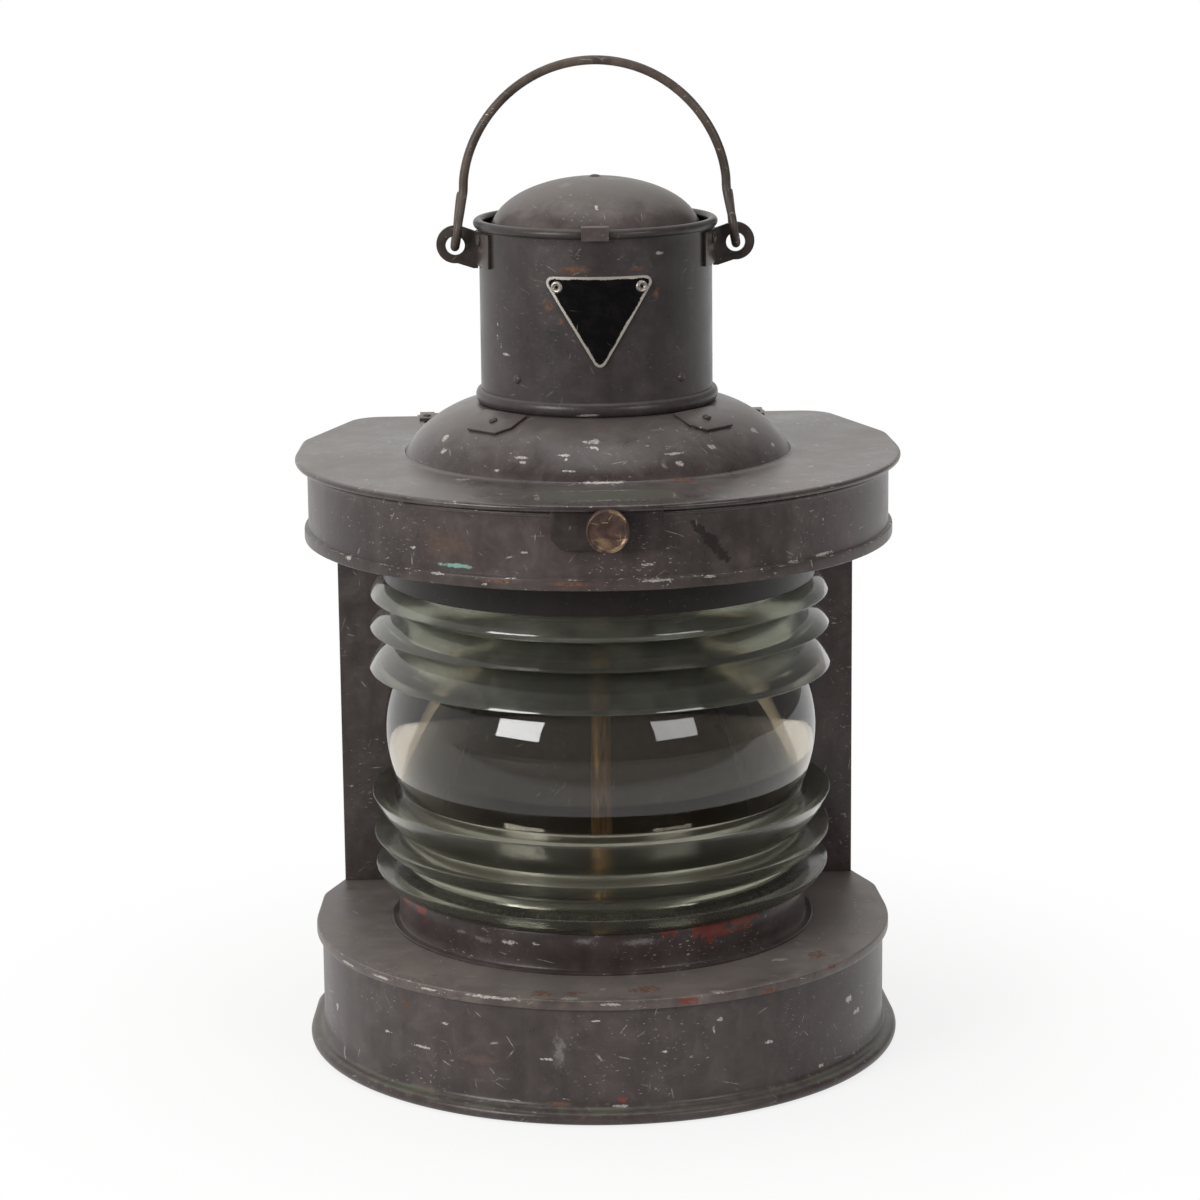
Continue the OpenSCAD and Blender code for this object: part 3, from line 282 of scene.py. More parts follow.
def aged_paint(name, body, pale, deep, gloss=0.34, dust_and_sheen_share=0.10, chips=0.5, scratched=0.5, sheen=0.32, under="bab4ae"):
    """Old satin paint on sheet metal: mottling, dust that also paints sheen on faces that look up, scratches, chips,
    worn edges, primer, rust, and soot that also paints shade.
    """
    f = Finish(name)
    broad = f.noise(16, 4.0, 0.6)
    cloud = f.noise(70, 5.0, 0.65, 0.5)
    grain = f.noise(900, 2.0, 0.6)
    streak = f.noise(1.0, 4.0, 0.6, 0.2, f.turned((130, 130, 14)))
    colour = f.mix(f.ramp(broad * 0.45 + cloud * 0.35 + streak * 0.2, 0.38, 0.56), tone(deep), tone(body))
    colour = f.mix(f.ramp(cloud * 0.6 + broad * 0.4, 0.50, 0.68, 0, 0.7), colour, tone(pale))
    # Lightens faces that look up and the dust field: real dust, and painted sheen for the grazing light on tops.
    dust_and_sheen = f.ramp(f.facing_up() * (0.45 + cloud) + f.field("dust_and_sheen"), 0.35, 1.15) * dust_and_sheen_share
    colour = f.mix(dust_and_sheen, colour, tone("8f8984"))
    lines = (f.scratches(0.007, 0.00028, 0.54, 0.66) | f.scratches(0.014, 0.00018, 0.58, 0.70, 0.4)
             | f.scratches(0.004, 0.00034, 0.55, 0.66, 0.9)) * f.ramp(grain, 0.35, 0.55, 0.3, 1.0) * scratched
    colour = f.mix(lines * 0.75, colour, tone("a8a29d"))
    flat = f.turned((1, 1, 2.6))
    spots = f.ramp(f.noise(330, 3.0, 0.65, 0.0, flat), 0.65, 0.68) * f.ramp(f.noise(24, 2.0), 0.44, 0.60) * chips
    wear = f.ramp(f.field("edge") + (f.noise(190, 4.0, 0.7, 0.0, flat) - 0.5) * 1.5, 0.62, 0.74)
    bright = f.ramp(f.field("chip") + (f.noise(230, 5.0, 0.7, 0.5, flat) - 0.5) * 1.9, 0.60, 0.68)
    bare = wear | spots | bright
    marks = MARKS.get(name, {})
    if "smudge" in marks:
        colour = f.mix(f.marks(marks["smudge"], 0.8) * 0.5, colour, tone("5f4b42"))
    if "pale" in marks:
        colour = f.mix(f.marks(marks["pale"], 0.7) * 0.5, colour, tone("837f7b"))
    if "chip" in marks:
        bare = bare | f.marks(marks["chip"], 0.25)
    colour = f.mix(bare * 0.85, colour, f.mix(f.ramp(grain, 0.45, 0.65), tone(under), tone("857d77")))
    red = f.ramp(f.field("red") + (f.noise(150, 5.0, 0.7, 1.0) - 0.5) * 1.5, 0.50, 0.60)
    if "red" in marks:
        red = red | f.marks(marks["red"], 0.3)
    colour = f.mix(red * 0.9, colour, f.mix(f.ramp(cloud, 0.4, 0.6), tone("6a2a20"), tone("6e392e")))
    rust_field = f.field("rust") + (f.noise(130, 6.0, 0.72, 0.8) - 0.5) * 1.4
    rust = f.ramp(rust_field, 0.42, 0.72)
    if "rust" in marks:
        rust = rust | f.marks(marks["rust"], 0.6)
    rust_colour = f.mix(f.ramp(f.noise(420, 4.0, 0.7), 0.38, 0.62), tone("4e3628"), tone("75503a"))
    colour = f.mix(rust * 0.85, colour, rust_colour)
    green = f.ramp(f.field("green") + (cloud - 0.5) * 1.2, 0.5, 0.75)
    colour = f.mix(green * 0.75, colour, tone("55574a"))
    if "teal" in marks:
        colour = f.mix(f.marks(marks["teal"], 0.3) * 0.8, colour, tone("7fa598"))
    # Darkens by the soot field: real soot inside the chimney, painted shade on the upper collar under the skirt.
    soot_and_shade = f.ramp(f.field("soot_and_shade") + (cloud - 0.5) * 0.5, 0.3, 0.9)
    if "tar" in marks:
        soot_and_shade = soot_and_shade | f.marks(marks["tar"], 0.3)
    colour = f.mix(soot_and_shade * 0.8, colour, tone("151211"))
    rough = gloss + (cloud - 0.5) * 0.20 + (broad - 0.5) * 0.30 + (grain - 0.5) * 0.08 + dust_and_sheen * 0.35 + rust * 0.4 - bare * 0.05
    height = (f.noise(11, 2.0) * 0.0009 + cloud * 0.00007 + grain * 0.000007 - bare * 0.00003
              - lines * 0.000012 + rust * f.noise(600, 3.0) * 0.00008)
    return f.done(f.surface(Base_Color=colour, Roughness=rough, Metallic=bare * 0.35, Specular_IOR_Level=sheen,
                            Normal=f.relief(height)))


def old_glass():
    """Clear pressed glass: thin in the belt, thick and greenish in the ribs, with a faint film of dirt."""
    f = Finish("lens_glass")
    film = f.noise(34, 5.0, 0.65, 0.4)
    specks = f.ramp(f.noise(520, 3.0, 0.7), 0.66, 0.74)
    lines = f.scratches(0.012, 0.00014, 0.54, 0.66) | f.scratches(0.006, 0.00018, 0.56, 0.68, 0.6)
    thick = f.field("thick")
    dirt = f.ramp(film + f.field("dust_and_sheen") * 0.5, 0.40, 0.85) | lines * 0.5
    height = f.noise(60, 2.0) * 0.00003 + f.noise(9, 2.0) * 0.0002 - lines * 0.00001
    normal = f.relief(height)
    tint = f.mix(thick, f.mix(film, tone("cdc4b2"), tone("bdb39f")), f.mix(film, tone("b4b6a5"), tone("a0a390")))
    glass = f.surface(Base_Color=tint, Roughness=0.012 + thick * 0.05 + dirt * 0.06 + f.field("dull") * 0.10 + f.field("blur") * 0.14,
                      Transmission_Weight=1.0, IOR=1.51, Coat_Weight=0.10 + thick * 0.35 - f.field("dull") * 0.25, Coat_Roughness=0.05, Coat_IOR=1.5, Normal=normal)
    grime = f.surface(Base_Color=f.mix(thick, tone("463b2f"), tone("6f7063")), Roughness=0.5, Normal=normal)
    veil = 0.03 + thick * (0.10 + dirt * 0.16) + dirt * 0.10 + specks * 0.06 + f.field("dull") * 0.05
    return f.done(f.node("ShaderNodeMixShader", inputs={0: veil, 1: glass, 2: grime}))


def bare_steel(name, body, dark, gloss=0.34):
    """Dull bare metal with fine rubbing marks and stains."""
    f = Finish(name)
    cloud = f.noise(160, 5.0, 0.65)
    rub = f.noise(1.0, 3.0, 0.6, 0.0, f.turned((1500, 180, 1500), (0.2, 0.3, 0.5)))
    stain = f.ramp(cloud, 0.48, 0.68)
    colour = f.mix(stain, tone(body), tone(dark))
    rough = gloss + stain * 0.25 + (rub - 0.5) * 0.3
    return f.done(f.surface(Base_Color=colour, Metallic=0.9 - stain * 0.35, Roughness=rough,
                            Normal=f.relief(cloud * 0.00004 + rub * 0.000008)))


def old_brass(name, body, patina, spots):
    """Brass under a brown patina that has worn off high places."""
    f = Finish(name)
    cloud = f.noise(120, 5.0, 0.65, 0.6)
    fine = f.noise(800, 3.0, 0.6)
    worn = f.ramp(f.field("edge") + (cloud - 0.5) * 1.5 + (fine - 0.5) * 0.3, 0.42, 0.78)
    colour = f.mix(worn, f.mix(f.ramp(cloud, 0.4, 0.62), tone(patina), tone(spots)), tone(body))
    lines = f.scratches(0.004, 0.00020, 0.45, 0.6)
    return f.done(f.surface(Base_Color=f.mix(lines * 0.5, colour, tone("c9b78e")), Metallic=0.55 + worn * 0.4,
                            Roughness=0.52 - worn * 0.2 + (fine - 0.5) * 0.16,
                            Normal=f.relief(cloud * 0.00008 + fine * 0.000012 - lines * 0.00001)))


def bare_plate():
    """Glossy black enamel with a bright rubbed border."""
    f = Finish("plate_black")
    cloud = f.noise(150, 5.0, 0.65)
    fine = f.noise(900, 3.0, 0.6)
    rim = f.ramp(f.field("edge") + (cloud - 0.5) * 0.55 + (fine - 0.5) * 0.25, 0.42, 0.60)
    lines = f.scratches(0.005, 0.00020, 0.50, 0.64) | f.scratches(0.009, 0.00016, 0.54, 0.66, 0.5)
    bare = rim | lines * 0.4
    rust = f.ramp(f.field("rust") + (f.noise(260, 5.0, 0.7) - 0.5) * 1.3, 0.5, 0.62)
    colour = f.mix(bare, f.mix(f.ramp(cloud, 0.45, 0.7), tone("080708"), tone("121011")), tone("b0aaa1"))
    colour = f.mix(rust, colour, tone("9a5530"))
    return f.done(f.surface(Base_Color=colour, Metallic=bare * 0.6, Roughness=0.2 + (cloud - 0.5) * 0.16 + bare * 0.2 + rust * 0.4,
                            Specular_IOR_Level=0.12, Normal=f.relief(f.noise(40, 2.0) * 0.0002 - bare * 0.00005 + fine * 0.000006)))


def dry_putty():
    """Hard cracked putty with dirt in its hollows."""
    f = Finish("putty")
    lump = f.noise(420, 5.0, 0.7)
    crack = 1 - f.ramp(f.cells(330), 0.02, 0.16)
    colour = f.mix(f.ramp(lump, 0.35, 0.65), tone("5c5345"), tone("a79b80"))
    return f.done(f.surface(Base_Color=f.mix(crack * 0.5, colour, tone("3d372f")), Roughness=0.86,
                            Normal=f.relief(lump * 0.0003 - crack * 0.0001)))


def woven_wick():
    """Plaited cotton, charred at its tip."""
    f = Finish("wick_fabric")
    x_y = f.turned((1, 1, 1), (0, 0, 0.6))
    plait = f.node("ShaderNodeTexWave", {"bands_direction": "DIAGONAL"}, {
        "Vector": x_y, "Scale": 260.0, "Distortion": 2.0, "Detail": 2.0}, "Fac")
    height = f.node("ShaderNodeSeparateXYZ", inputs={0: f.place}, output="Z")
    char = f.ramp(height + (f.noise(500, 3.0) - 0.5) * 0.004, 0.1655, 0.1685)
    colour = f.mix(plait, tone("a89f8a"), tone("d9cfb8"))
    return f.done(f.surface(Base_Color=f.mix(char, colour, tone("1d1a18")), Roughness=0.9,
                            Normal=f.relief(plait * 0.00025 + f.noise(1500, 2.0) * 0.00006)))


finishes = {
    "body_paint": aged_paint("body_paint", "433b39", "544c49", "342c2a", chips=0.7, scratched=0.8),
    "base_top_paint": aged_paint("base_top_paint", "544a46", "6c625a", "3f3734", dust_and_sheen_share=0.32, chips=0.9, scratched=0.9, sheen=0.4),
    "skirt_paint": aged_paint("skirt_paint", "473e3c", "5a504d", "352e2c", chips=0.8, scratched=1.0),
    "roof_paint": aged_paint("roof_paint", "403736", "575049", "2f2827", gloss=0.28, dust_and_sheen_share=0.18, chips=0.9, scratched=0.8, sheen=0.42),
    "chimney_paint": aged_paint("chimney_paint", "3b3534", "494341", "2e2a29", chips=0.25, scratched=0.35),
    "cap_paint": aged_paint("cap_paint", "4e4543", "625955", "3c3432", dust_and_sheen_share=0.3, scratched=0.6),
    "collar_paint": aged_paint("collar_paint", "3d3331", "4d4441", "2c2524", chips=0.8, sheen=0.25),
    "keeper_paint": aged_paint("keeper_paint", "362e2d", "463c3a", "272120", gloss=0.32, scratched=1.0),
    "hardware_paint": aged_paint("hardware_paint", "423935", "554b45", "312926", chips=0.8),
    "bail_wire": aged_paint("bail_wire", "4f453e", "675b51", "382f2a", gloss=0.42, chips=1.0, scratched=0.8),
    "plate_black": bare_plate(),
    "bare_metal": bare_steel("bare_metal", "a39d95", "5f5851"),
    "knob_brass": old_brass("knob_brass", "9c8468", "3f2f29", "56423a"),
    "lamp_brass": old_brass("lamp_brass", "b3946a", "755c46", "8c7150"),
    "lens_glass": old_glass(),
    "putty": dry_putty(),
    "wick_fabric": woven_wick(),
}

# Body outline
BODY_R, SIDE_TAPER, CORNER_SLOPE, SIDE_RUN = 152.0, 3.0, 20.0, 35.0
BACK_REACH, SIDE_SOFT_R, BACK_SOFT_R = 112.0, 30.0, 12.0
CORNER_REACH = (BODY_R * math.cos(math.radians(CORNER_SLOPE - SIDE_TAPER))
                + SIDE_RUN * math.sin(math.radians(CORNER_SLOPE - SIDE_TAPER)))


def unit(angle):
    return np.array([math.cos(math.radians(angle)), math.sin(math.radians(angle))])


def meeting(a1, d1, a2, d2):
    """Where two lines meet, each given by the angle of its normal and its distance from the axis."""
    return np.linalg.solve(np.array([unit(a1), unit(a2)]), np.array([d1, d2]))


def arc(centre, radius, start, end, count):
    return [np.asarray(centre) + radius * unit(a) for a in np.linspace(start, end, count)]


def outline(d):
    """Points of the body's outline grown by d, anticlockwise from the middle of the back, always as many."""
    side = meeting(SIDE_TAPER, BODY_R - SIDE_SOFT_R, CORNER_SLOPE, CORNER_REACH - SIDE_SOFT_R)
    back = meeting(CORNER_SLOPE, CORNER_REACH - BACK_SOFT_R, 90, BACK_REACH - BACK_SOFT_R)
    runs = [
        arc((0, 0), BODY_R + d, -90, SIDE_TAPER, 96), arc(side, SIDE_SOFT_R + d, SIDE_TAPER, CORNER_SLOPE, 8),
        arc(back, BACK_SOFT_R + d, CORNER_SLOPE, 90, 14)]
    right = []
    for run, gap_count in zip(runs, (10, 18, 32)):
        right += run
        after = runs[runs.index(run) + 1][0] if run is not runs[-1] else np.array([0, BACK_REACH + d])
        right += [run[-1] + (after - run[-1]) * t for t in np.linspace(0, 1, gap_count)[1:-1]]
    right = np.array(right + [np.array([0, BACK_REACH + d])])
    left = right[::-1] * [-1, 1]
    return np.concatenate([left[:-1], right[:-1]])


STATIONS = len(outline(0))
FACING = np.arctan2(*outline(0).T[::-1])


def ring(d, z):
    return np.column_stack([outline(d), np.full(STATIONS, z)])


def round_ring(r, z):
    return np.column_stack([r * np.cos(FACING), r * np.sin(FACING), np.full(STATIONS, z)])


def new_piece(name, points, faces, body, slot, replaced=(), smooth=32, fields=None):
    """A finished piece from points in millimetres: faces outwards, smooth but for its sharp edges."""
    mesh = bpy.data.meshes.new(name)
    mesh.from_pydata([tuple(p) for p in np.asarray(points) * MM], [], [tuple(map(int, f)) for f in faces])
    return dress(name, mesh, body, slot, replaced, smooth, fields)


def volume_of(mesh):
    bm = bmesh.new()
    bm.from_mesh(mesh)
    volume = bm.calc_volume(signed=True)
    bm.free()
    return volume


def dress(name, mesh, body, slot, replaced=(), smooth=32, fields=None):
    if volume_of(mesh) < 0:
        mesh.flip_normals()
    mesh.validate()
    mesh.shade_smooth()
    mesh.set_sharp_from_angle(angle=math.radians(smooth))
    co = np.empty(len(mesh.vertices) * 3)
    mesh.vertices.foreach_get("co", co)
    co = co.reshape(-1, 3) / MM
    for key, make in (fields or {}).items():
        values = np.clip(np.broadcast_to(make(*co.T), len(co)), 0, 1).astype(np.float32)
        mesh.attributes.new(key, "FLOAT", "POINT").data.foreach_set("value", values)
    mesh.materials.clear()
    mesh.materials.append(finishes[slot])
    piece = bpy.data.objects.new(name, mesh)
    scene.collection.objects.link(piece)
    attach(piece, body)
    if replaced:
        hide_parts(*replaced)
    return piece


def shell(rings, closed=True):
    """Points and faces of a closed section carried round: rings go along the section, stations along each ring."""
    rings = np.asarray(rings)
    rows, stations = rings.shape[:2]
    across = stations if closed else stations - 1
    i, j = np.meshgrid(np.arange(rows), np.arange(across), indexing="ij")
    i2, j2 = (i + 1) % rows, (j + 1) % stations
    faces = np.stack([i * stations + j, i * stations + j2, i2 * stations + j2, i2 * stations + j], -1).reshape(-1, 4)
    faces = [list(f) for f in faces]
    if not closed:
        faces += [[r * stations for r in range(rows)], [r * stations + stations - 1 for r in range(rows)][::-1]]
    return rings.reshape(-1, 3), faces


def rolled(centre, radius, start, end, count):
    return [tuple(np.asarray(centre) + radius * unit(a)) for a in np.linspace(start, end, count)]


def blob(x, y, z, *places):
    """Strength near a list of places, each x, y, z, reach, strength."""
    total = np.zeros(np.shape(x))
    for px, py, pz, reach, strength in places:
        total = np.maximum(total, strength * np.exp(-((x - px) ** 2 + (y - py) ** 2 + (z - pz) ** 2) / reach ** 2))
    return total


def near(value, middle, reach):
    return np.exp(-((value - middle) / reach) ** 2)


# Heights
BASE_TOP, SKIRT_LOW, SKIRT_TOP = 65.3, 276.3, 316.2
ROOF_LOW, ROOF_TOP, DOME_TOP, RIM = 316.5, 320.0, 347.2, 441.2


def base_wall():
    section = [(0.0, z) for z in np.linspace(64.1, 11.5, 20)] + [(0.25, 9.6), (0.9, 8.1), (1.9, 7.3), (3.0, 7.0)]
    section += rolled((4, 3.5), 3.5, 80, -90, 12)
    section += [(2.5, 0.2), (0.8, 0.9), (-1.2, 1.2), (-1.2, 20.0), (-1.2, 40.0), (-1.2, 64.1)]
    points, faces = shell([ring(d, z) for d, z in section][::-1])
    new_piece("base_wall_sheet", points, faces, "housing", "body_paint", ["base_wall"], fields={
        "edge": lambda x, y, z: 0.40 * near(z, 6.6, 1.0) + 0.2 * near(z, 1.0, 1.2),
        "rust": lambda x, y, z: 0.32 * near(z, 5, 4) + blob(x, y, z, (10, -152, 15, 5, 0.5), (48, -144, 40, 5, 0.4),
                                                        (-96, -118, 12, 9, 0.45)),
        "green": lambda x, y, z: 0.62 * near(z, 7.0, 2.8) + 0.35 * near(z, 2.0, 1.5),
        "dust_and_sheen": lambda x, y, z: 0.25 * near(z, 8.0, 3.0) + blob(x, y, z, (-22, -150, 44, 7, 0.7), (-21, -150, 34, 6, 0.6))})


def base_top():
    hole = np.minimum(100.0, np.where(np.sin(FACING) > 0.05, 58.0 / np.maximum(np.sin(FACING), 0.05), 1e3))
    hole_at = lambda z: np.column_stack([hole * np.cos(FACING), hole * np.sin(FACING), np.full(STATIONS, z)])
    outer = [(0.3, 60.2), (0.8, 60.0), (2.0, 60.0), (2.7, 60.25), (3.0, 60.8), (3.0, 62.4), (3.0, 64.2), (2.8, 64.9),
             (2.2, 65.3), (1.0, 65.3), (-1.5, 65.3), (-5.0, 65.3), (-10.0, 65.3), (-16.0, 65.3)]
    rings = [ring(d, z) for d, z in outer]
    edge = rings[-1]
    rings += [edge + (hole_at(65.3) - edge) * t for t in np.linspace(0, 1, 13)[1:]]
    under = ring(-16, 64.1)
    rings += [under + (hole_at(64.1) - under) * t for t in (1.0, 0.5, 0.0)] + [ring(-1.0, 64.1), ring(0.3, 64.1)]
    points, faces = shell(rings)
    new_piece("base_top_plate", points, faces, "housing", "base_top_paint", ["base_top"], fields={
        "edge": lambda x, y, z: 0.52 * near(z, 65.0, 0.5) * (np.hypot(x, y) > 148) * (1 + 0.3 * near(x, -60, 55))
        + 0.35 * near(z, 60.3, 0.6),
        "rust": lambda x, y, z: blob(x, y, z, (50, -136, 65, 8, 0.4), (-90, -108, 65, 8, 0.45), (132, -50, 65, 10, 0.45)),
        "green": lambda x, y, z: 0.35 * near(np.hypot(x, y), 124, 12) * (y < -40),
        "dust_and_sheen": lambda x, y, z: 0.55 * near(np.hypot(x, y), 124, 14)})


def skirt():
    section = [(0.5, 276.3), (1.2, 276.3), (3.2, 276.35), (3.75, 276.7), (3.9, 277.4), (3.9, 279.4), (3.9, 281.4),
               (3.75, 282.1), (3.2, 282.5), (2.2, 282.6), (1.8, 282.9)] + [(1.7, z) for z in np.linspace(283.6, 312.2, 12)]
    section += [(1.85, 313.1), (2.3, 313.4)]
    section += rolled((1.7, 314.6), 1.6, -40, 200, 13)
    section += [(0.5, 313.4), (0.5, 300.0), (0.5, 288.0)]
    points, faces = shell([ring(d, z) for d, z in section])
    new_piece("skirt_sheet", points, faces, "housing", "skirt_paint", ["skirt_band"], fields={
        "edge": lambda x, y, z: 0.58 * near(z, 282.2, 0.8) + 0.34 * near(z, 277.0, 0.8) + 0.28 * near(z, 315.6, 0.9),
        "rust": lambda x, y, z: blob(x, y, z, (150, -10, 279, 8, 0.4), (120, -96, 280, 9, 0.42), (-134, -76, 281, 8, 0.5),
                                     (-115, -103, 300, 6, 0.4)),
        "dust_and_sheen": lambda x, y, z: 0.3 * near(z, 283.5, 1.5)})


def dome_curve(t):
    u = 1 - t
    return 61.3 + 40.7 * u, ROOF_TOP + 27.2 * (1 - u ** 1.7) ** 0.74


def roof():
    outer = [(2.0, 316.5), (4.2, 316.5)] + rolled((6.25, 318.25), 1.75, -90, 90, 13)
    outer += [(4.5, 320.0), (2.0, 320.0), (-2.0, 320.0), (-8.0, 320.0)]
    rings = [ring(d, z) for d, z in outer]
    edge = rings[-1]
    rings += [edge + (round_ring(106.5, 320.0) - edge) * t for t in np.linspace(0, 1, 10)[1:]]
    rings += [round_ring(r, z) for r, z in ((104.3, 320.1), (102.9, 320.45), (102.0, 321.2))]
    rings += [round_ring(*dome_curve(t)) for t in np.linspace(0.012, 1, 26) ** 1.15]
    rings += [round_ring(r - 0.9 * (r > 61.4), z - 1.1) for r, z in (dome_curve(t) for t in np.linspace(1, 0, 14))]
    under = ring(-8, 318.8)
    rings += [round_ring(101.0, 318.8)] + [round_ring(104.0, 318.8), under, ring(2.0, 318.8)]
    points, faces = shell(rings)
    plate = new_piece("roof_sheet", points, faces, "lid", "roof_paint", ["roof_plate"])
    drilled(plate, [((side * 90.5, 98.0, 320.0), (0, 0, 1), 3.4) for side in (-1, 1)])
    paint_fields(plate, {
        "edge": lambda x, y, z: 0.48 * near(z, 319.4, 0.8) * (np.hypot(x, y) > 150) + 0.2 * near(z, 321.0, 0.8),
        "rust": lambda x, y, z: blob(x, y, z, (118, 60, 320, 10, 0.35), (-140, 20, 320, 8, 0.4), (140, -60, 320, 9, 0.4)),
        "green": lambda x, y, z: 1.05 * label_patch(x, y) + 0.40 * near(z, 343, 5) * (y < -30),
        # Lightening of the flat roof at its left and right sides is painted sheen; the rest of this field is dust.
        "dust_and_sheen": lambda x, y, z: 0.55 * (z < 321.5) * np.clip((np.hypot(x, y) - 100) / 6, 0, 1) * (abs(x) > 70)
        + 0.5 * near(z, 344, 4) + 0.7 * label_patch(x, y) + blob(x, y, z, (96, -58, 321, 14, 0.9), (84, -68, 321, 12, 0.7))})
    return plate


def label_patch(x, y):
    """Worn pale strip along the front of the roof."""
    r = np.hypot(x, y)
    return np.clip((35 - abs(x)) / 3, 0, 1) * np.clip((13 - abs(r - 132.5)) / 3, 0, 1) * (y < 0)


def paint_fields(piece, fields):
    mesh = piece.data
    co = np.empty(len(mesh.vertices) * 3)
    mesh.vertices.foreach_get("co", co)
    co = co.reshape(-1, 3) / MM
    for key, make in fields.items():
        values = np.clip(np.broadcast_to(make(*co.T), len(co)), 0, 1).astype(np.float32)
        mesh.attributes.new(key, "FLOAT", "POINT").data.foreach_set("value", values)


def evaluated_mesh(piece):
    graph = bpy.context.evaluated_depsgraph_get()
    return bpy.data.meshes.new_from_object(piece.evaluated_get(graph), preserve_all_data_layers=True, depsgraph=graph)


def drilled(piece, holes):
    """Cuts round holes, each a middle, a direction and a radius in millimetres."""
    bm = bmesh.new()
    for middle, way, radius in holes:
        turn = Vector((0, 0, 1)).rotation_difference(Vector(way)).to_matrix().to_4x4()
        bmesh.ops.create_cone(bm, cap_ends=True, segments=40, radius1=radius * MM, radius2=radius * MM, depth=0.012,
                              matrix=Matrix.Translation(Vector(middle) * MM) @ turn)
    cutter_mesh = bpy.data.meshes.new("hole_cutter")
    bm.to_mesh(cutter_mesh)
    bm.free()
    cutter = bpy.data.objects.new("hole_cutter", cutter_mesh)
    scene.collection.objects.link(cutter)
    cut = piece.modifiers.new("holes", "BOOLEAN")
    cut.operation, cut.object, cut.solver = "DIFFERENCE", cutter, "EXACT"
    mesh = evaluated_mesh(piece)
    piece.modifiers.remove(cut)
    bpy.data.objects.remove(cutter)
    material = piece.data.materials[0]
    piece.data = mesh
    mesh.materials.clear()
    mesh.materials.append(material)
    mesh.shade_smooth()
    mesh.set_sharp_from_angle(angle=math.radians(32))


def turned(name, section, body, slot, replaced=(), centre=(0, 0, 0), way=(0, 0, 1), stations=160, smooth=32, fields=None):
    """A piece turned on a lathe from a closed section of radius and height, its axis through a point in a direction."""
    angles = np.linspace(0, 2 * math.pi, stations, endpoint=False)
    section = [(max(r, 0.0), h) for r, h in section]
    spin = np.array([[(r * math.cos(a), r * math.sin(a), h) for a in angles] for r, h in section])
    turn = np.array(Vector((0, 0, 1)).rotation_difference(Vector(way)).to_matrix())
    points, faces = shell(spin @ turn.T + np.array(centre, dtype=float))
    mesh = bpy.data.meshes.new(name)
    mesh.from_pydata([tuple(p) for p in points * MM], [], faces)
    bm = bmesh.new()
    bm.from_mesh(mesh)
    bmesh.ops.remove_doubles(bm, verts=bm.verts, dist=2e-6)
    bm.to_mesh(mesh)
    bm.free()
    return dress(name, mesh, body, slot, replaced, smooth, fields)


def swept_ring_tree():
    """Carries the piece's own closed section round the lens axis and cuts both ends flat behind it."""
    tree = bpy.data.node_groups.new("swept_ring", "GeometryNodeTree")
    face = tree.interface
    face.new_socket("Section", in_out="INPUT", socket_type="NodeSocketGeometry")
    face.new_socket("Stations", in_out="INPUT", socket_type="NodeSocketInt")
    face.new_socket("Back cut", in_out="INPUT", socket_type="NodeSocketFloat")
    face.new_socket("Finish", in_out="INPUT", socket_type="NodeSocketMaterial")
    face.new_socket("Ring", in_out="OUTPUT", socket_type="NodeSocketGeometry")
    add, link = tree.nodes.new, tree.links.new
    start, end = add("NodeGroupInput"), add("NodeGroupOutput")
    section = add("GeometryNodeMeshToCurve")
    link(start.outputs["Section"], section.inputs["Mesh"])
    held = add("GeometryNodeCaptureAttribute")
    held.capture_items.new("VECTOR", "Place")
    link(section.outputs[0], held.inputs["Geometry"])
    link(add("GeometryNodeInputPosition").outputs[0], held.inputs["Place"])
    line = add("GeometryNodeCurvePrimitiveLine")
    count = add("GeometryNodeResampleCurve")
    link(line.outputs[0], count.inputs["Curve"])
    link(start.outputs["Stations"], count.inputs["Count"])
    along = add("GeometryNodeCaptureAttribute")
    along.capture_items.new("FLOAT", "Share")
    link(count.outputs[0], along.inputs["Geometry"])
    link(add("GeometryNodeSplineParameter").outputs["Factor"], along.inputs["Share"])
    sweep = add("GeometryNodeCurveToMesh")
    sweep.inputs["Fill Caps"].default_value = True
    link(along.outputs["Geometry"], sweep.inputs["Curve"])
    link(held.outputs["Geometry"], sweep.inputs["Profile Curve"])
    parts = add("ShaderNodeSeparateXYZ")
    link(held.outputs["Place"], parts.inputs[0])

    def maths(operation, *values):
        node = add("ShaderNodeMath")
        node.operation = operation
        for slot_input, value in zip(node.inputs, values):
            if isinstance(value, (int, float)):
                slot_input.default_value = value
            else:
                link(value, slot_input)
        return node.outputs[0]

    radius = parts.outputs["X"]
    reach = maths("ADD", maths("ARCSINE", maths("DIVIDE", start.outputs["Back cut"], radius)), math.pi / 2)
    angle = maths("MULTIPLY", maths("SUBTRACT", maths("MULTIPLY", along.outputs["Share"], 2.0), 1.0), reach)
    place = add("ShaderNodeCombineXYZ")
    link(maths("MULTIPLY", radius, maths("SINE", angle)), place.inputs["X"])
    link(maths("MULTIPLY", maths("MULTIPLY", radius, maths("COSINE", angle)), -1.0), place.inputs["Y"])
    link(parts.outputs["Z"], place.inputs["Z"])
    move = add("GeometryNodeSetPosition")
    link(sweep.outputs[0], move.inputs["Geometry"])
    link(place.outputs[0], move.inputs["Position"])
    real = add("GeometryNodeRealizeInstances")
    link(move.outputs[0], real.inputs[0])
    coat = add("GeometryNodeSetMaterial")
    link(real.outputs[0], coat.inputs["Geometry"])
    link(start.outputs["Finish"], coat.inputs["Material"])
    link(coat.outputs[0], end.inputs["Ring"])
    return tree


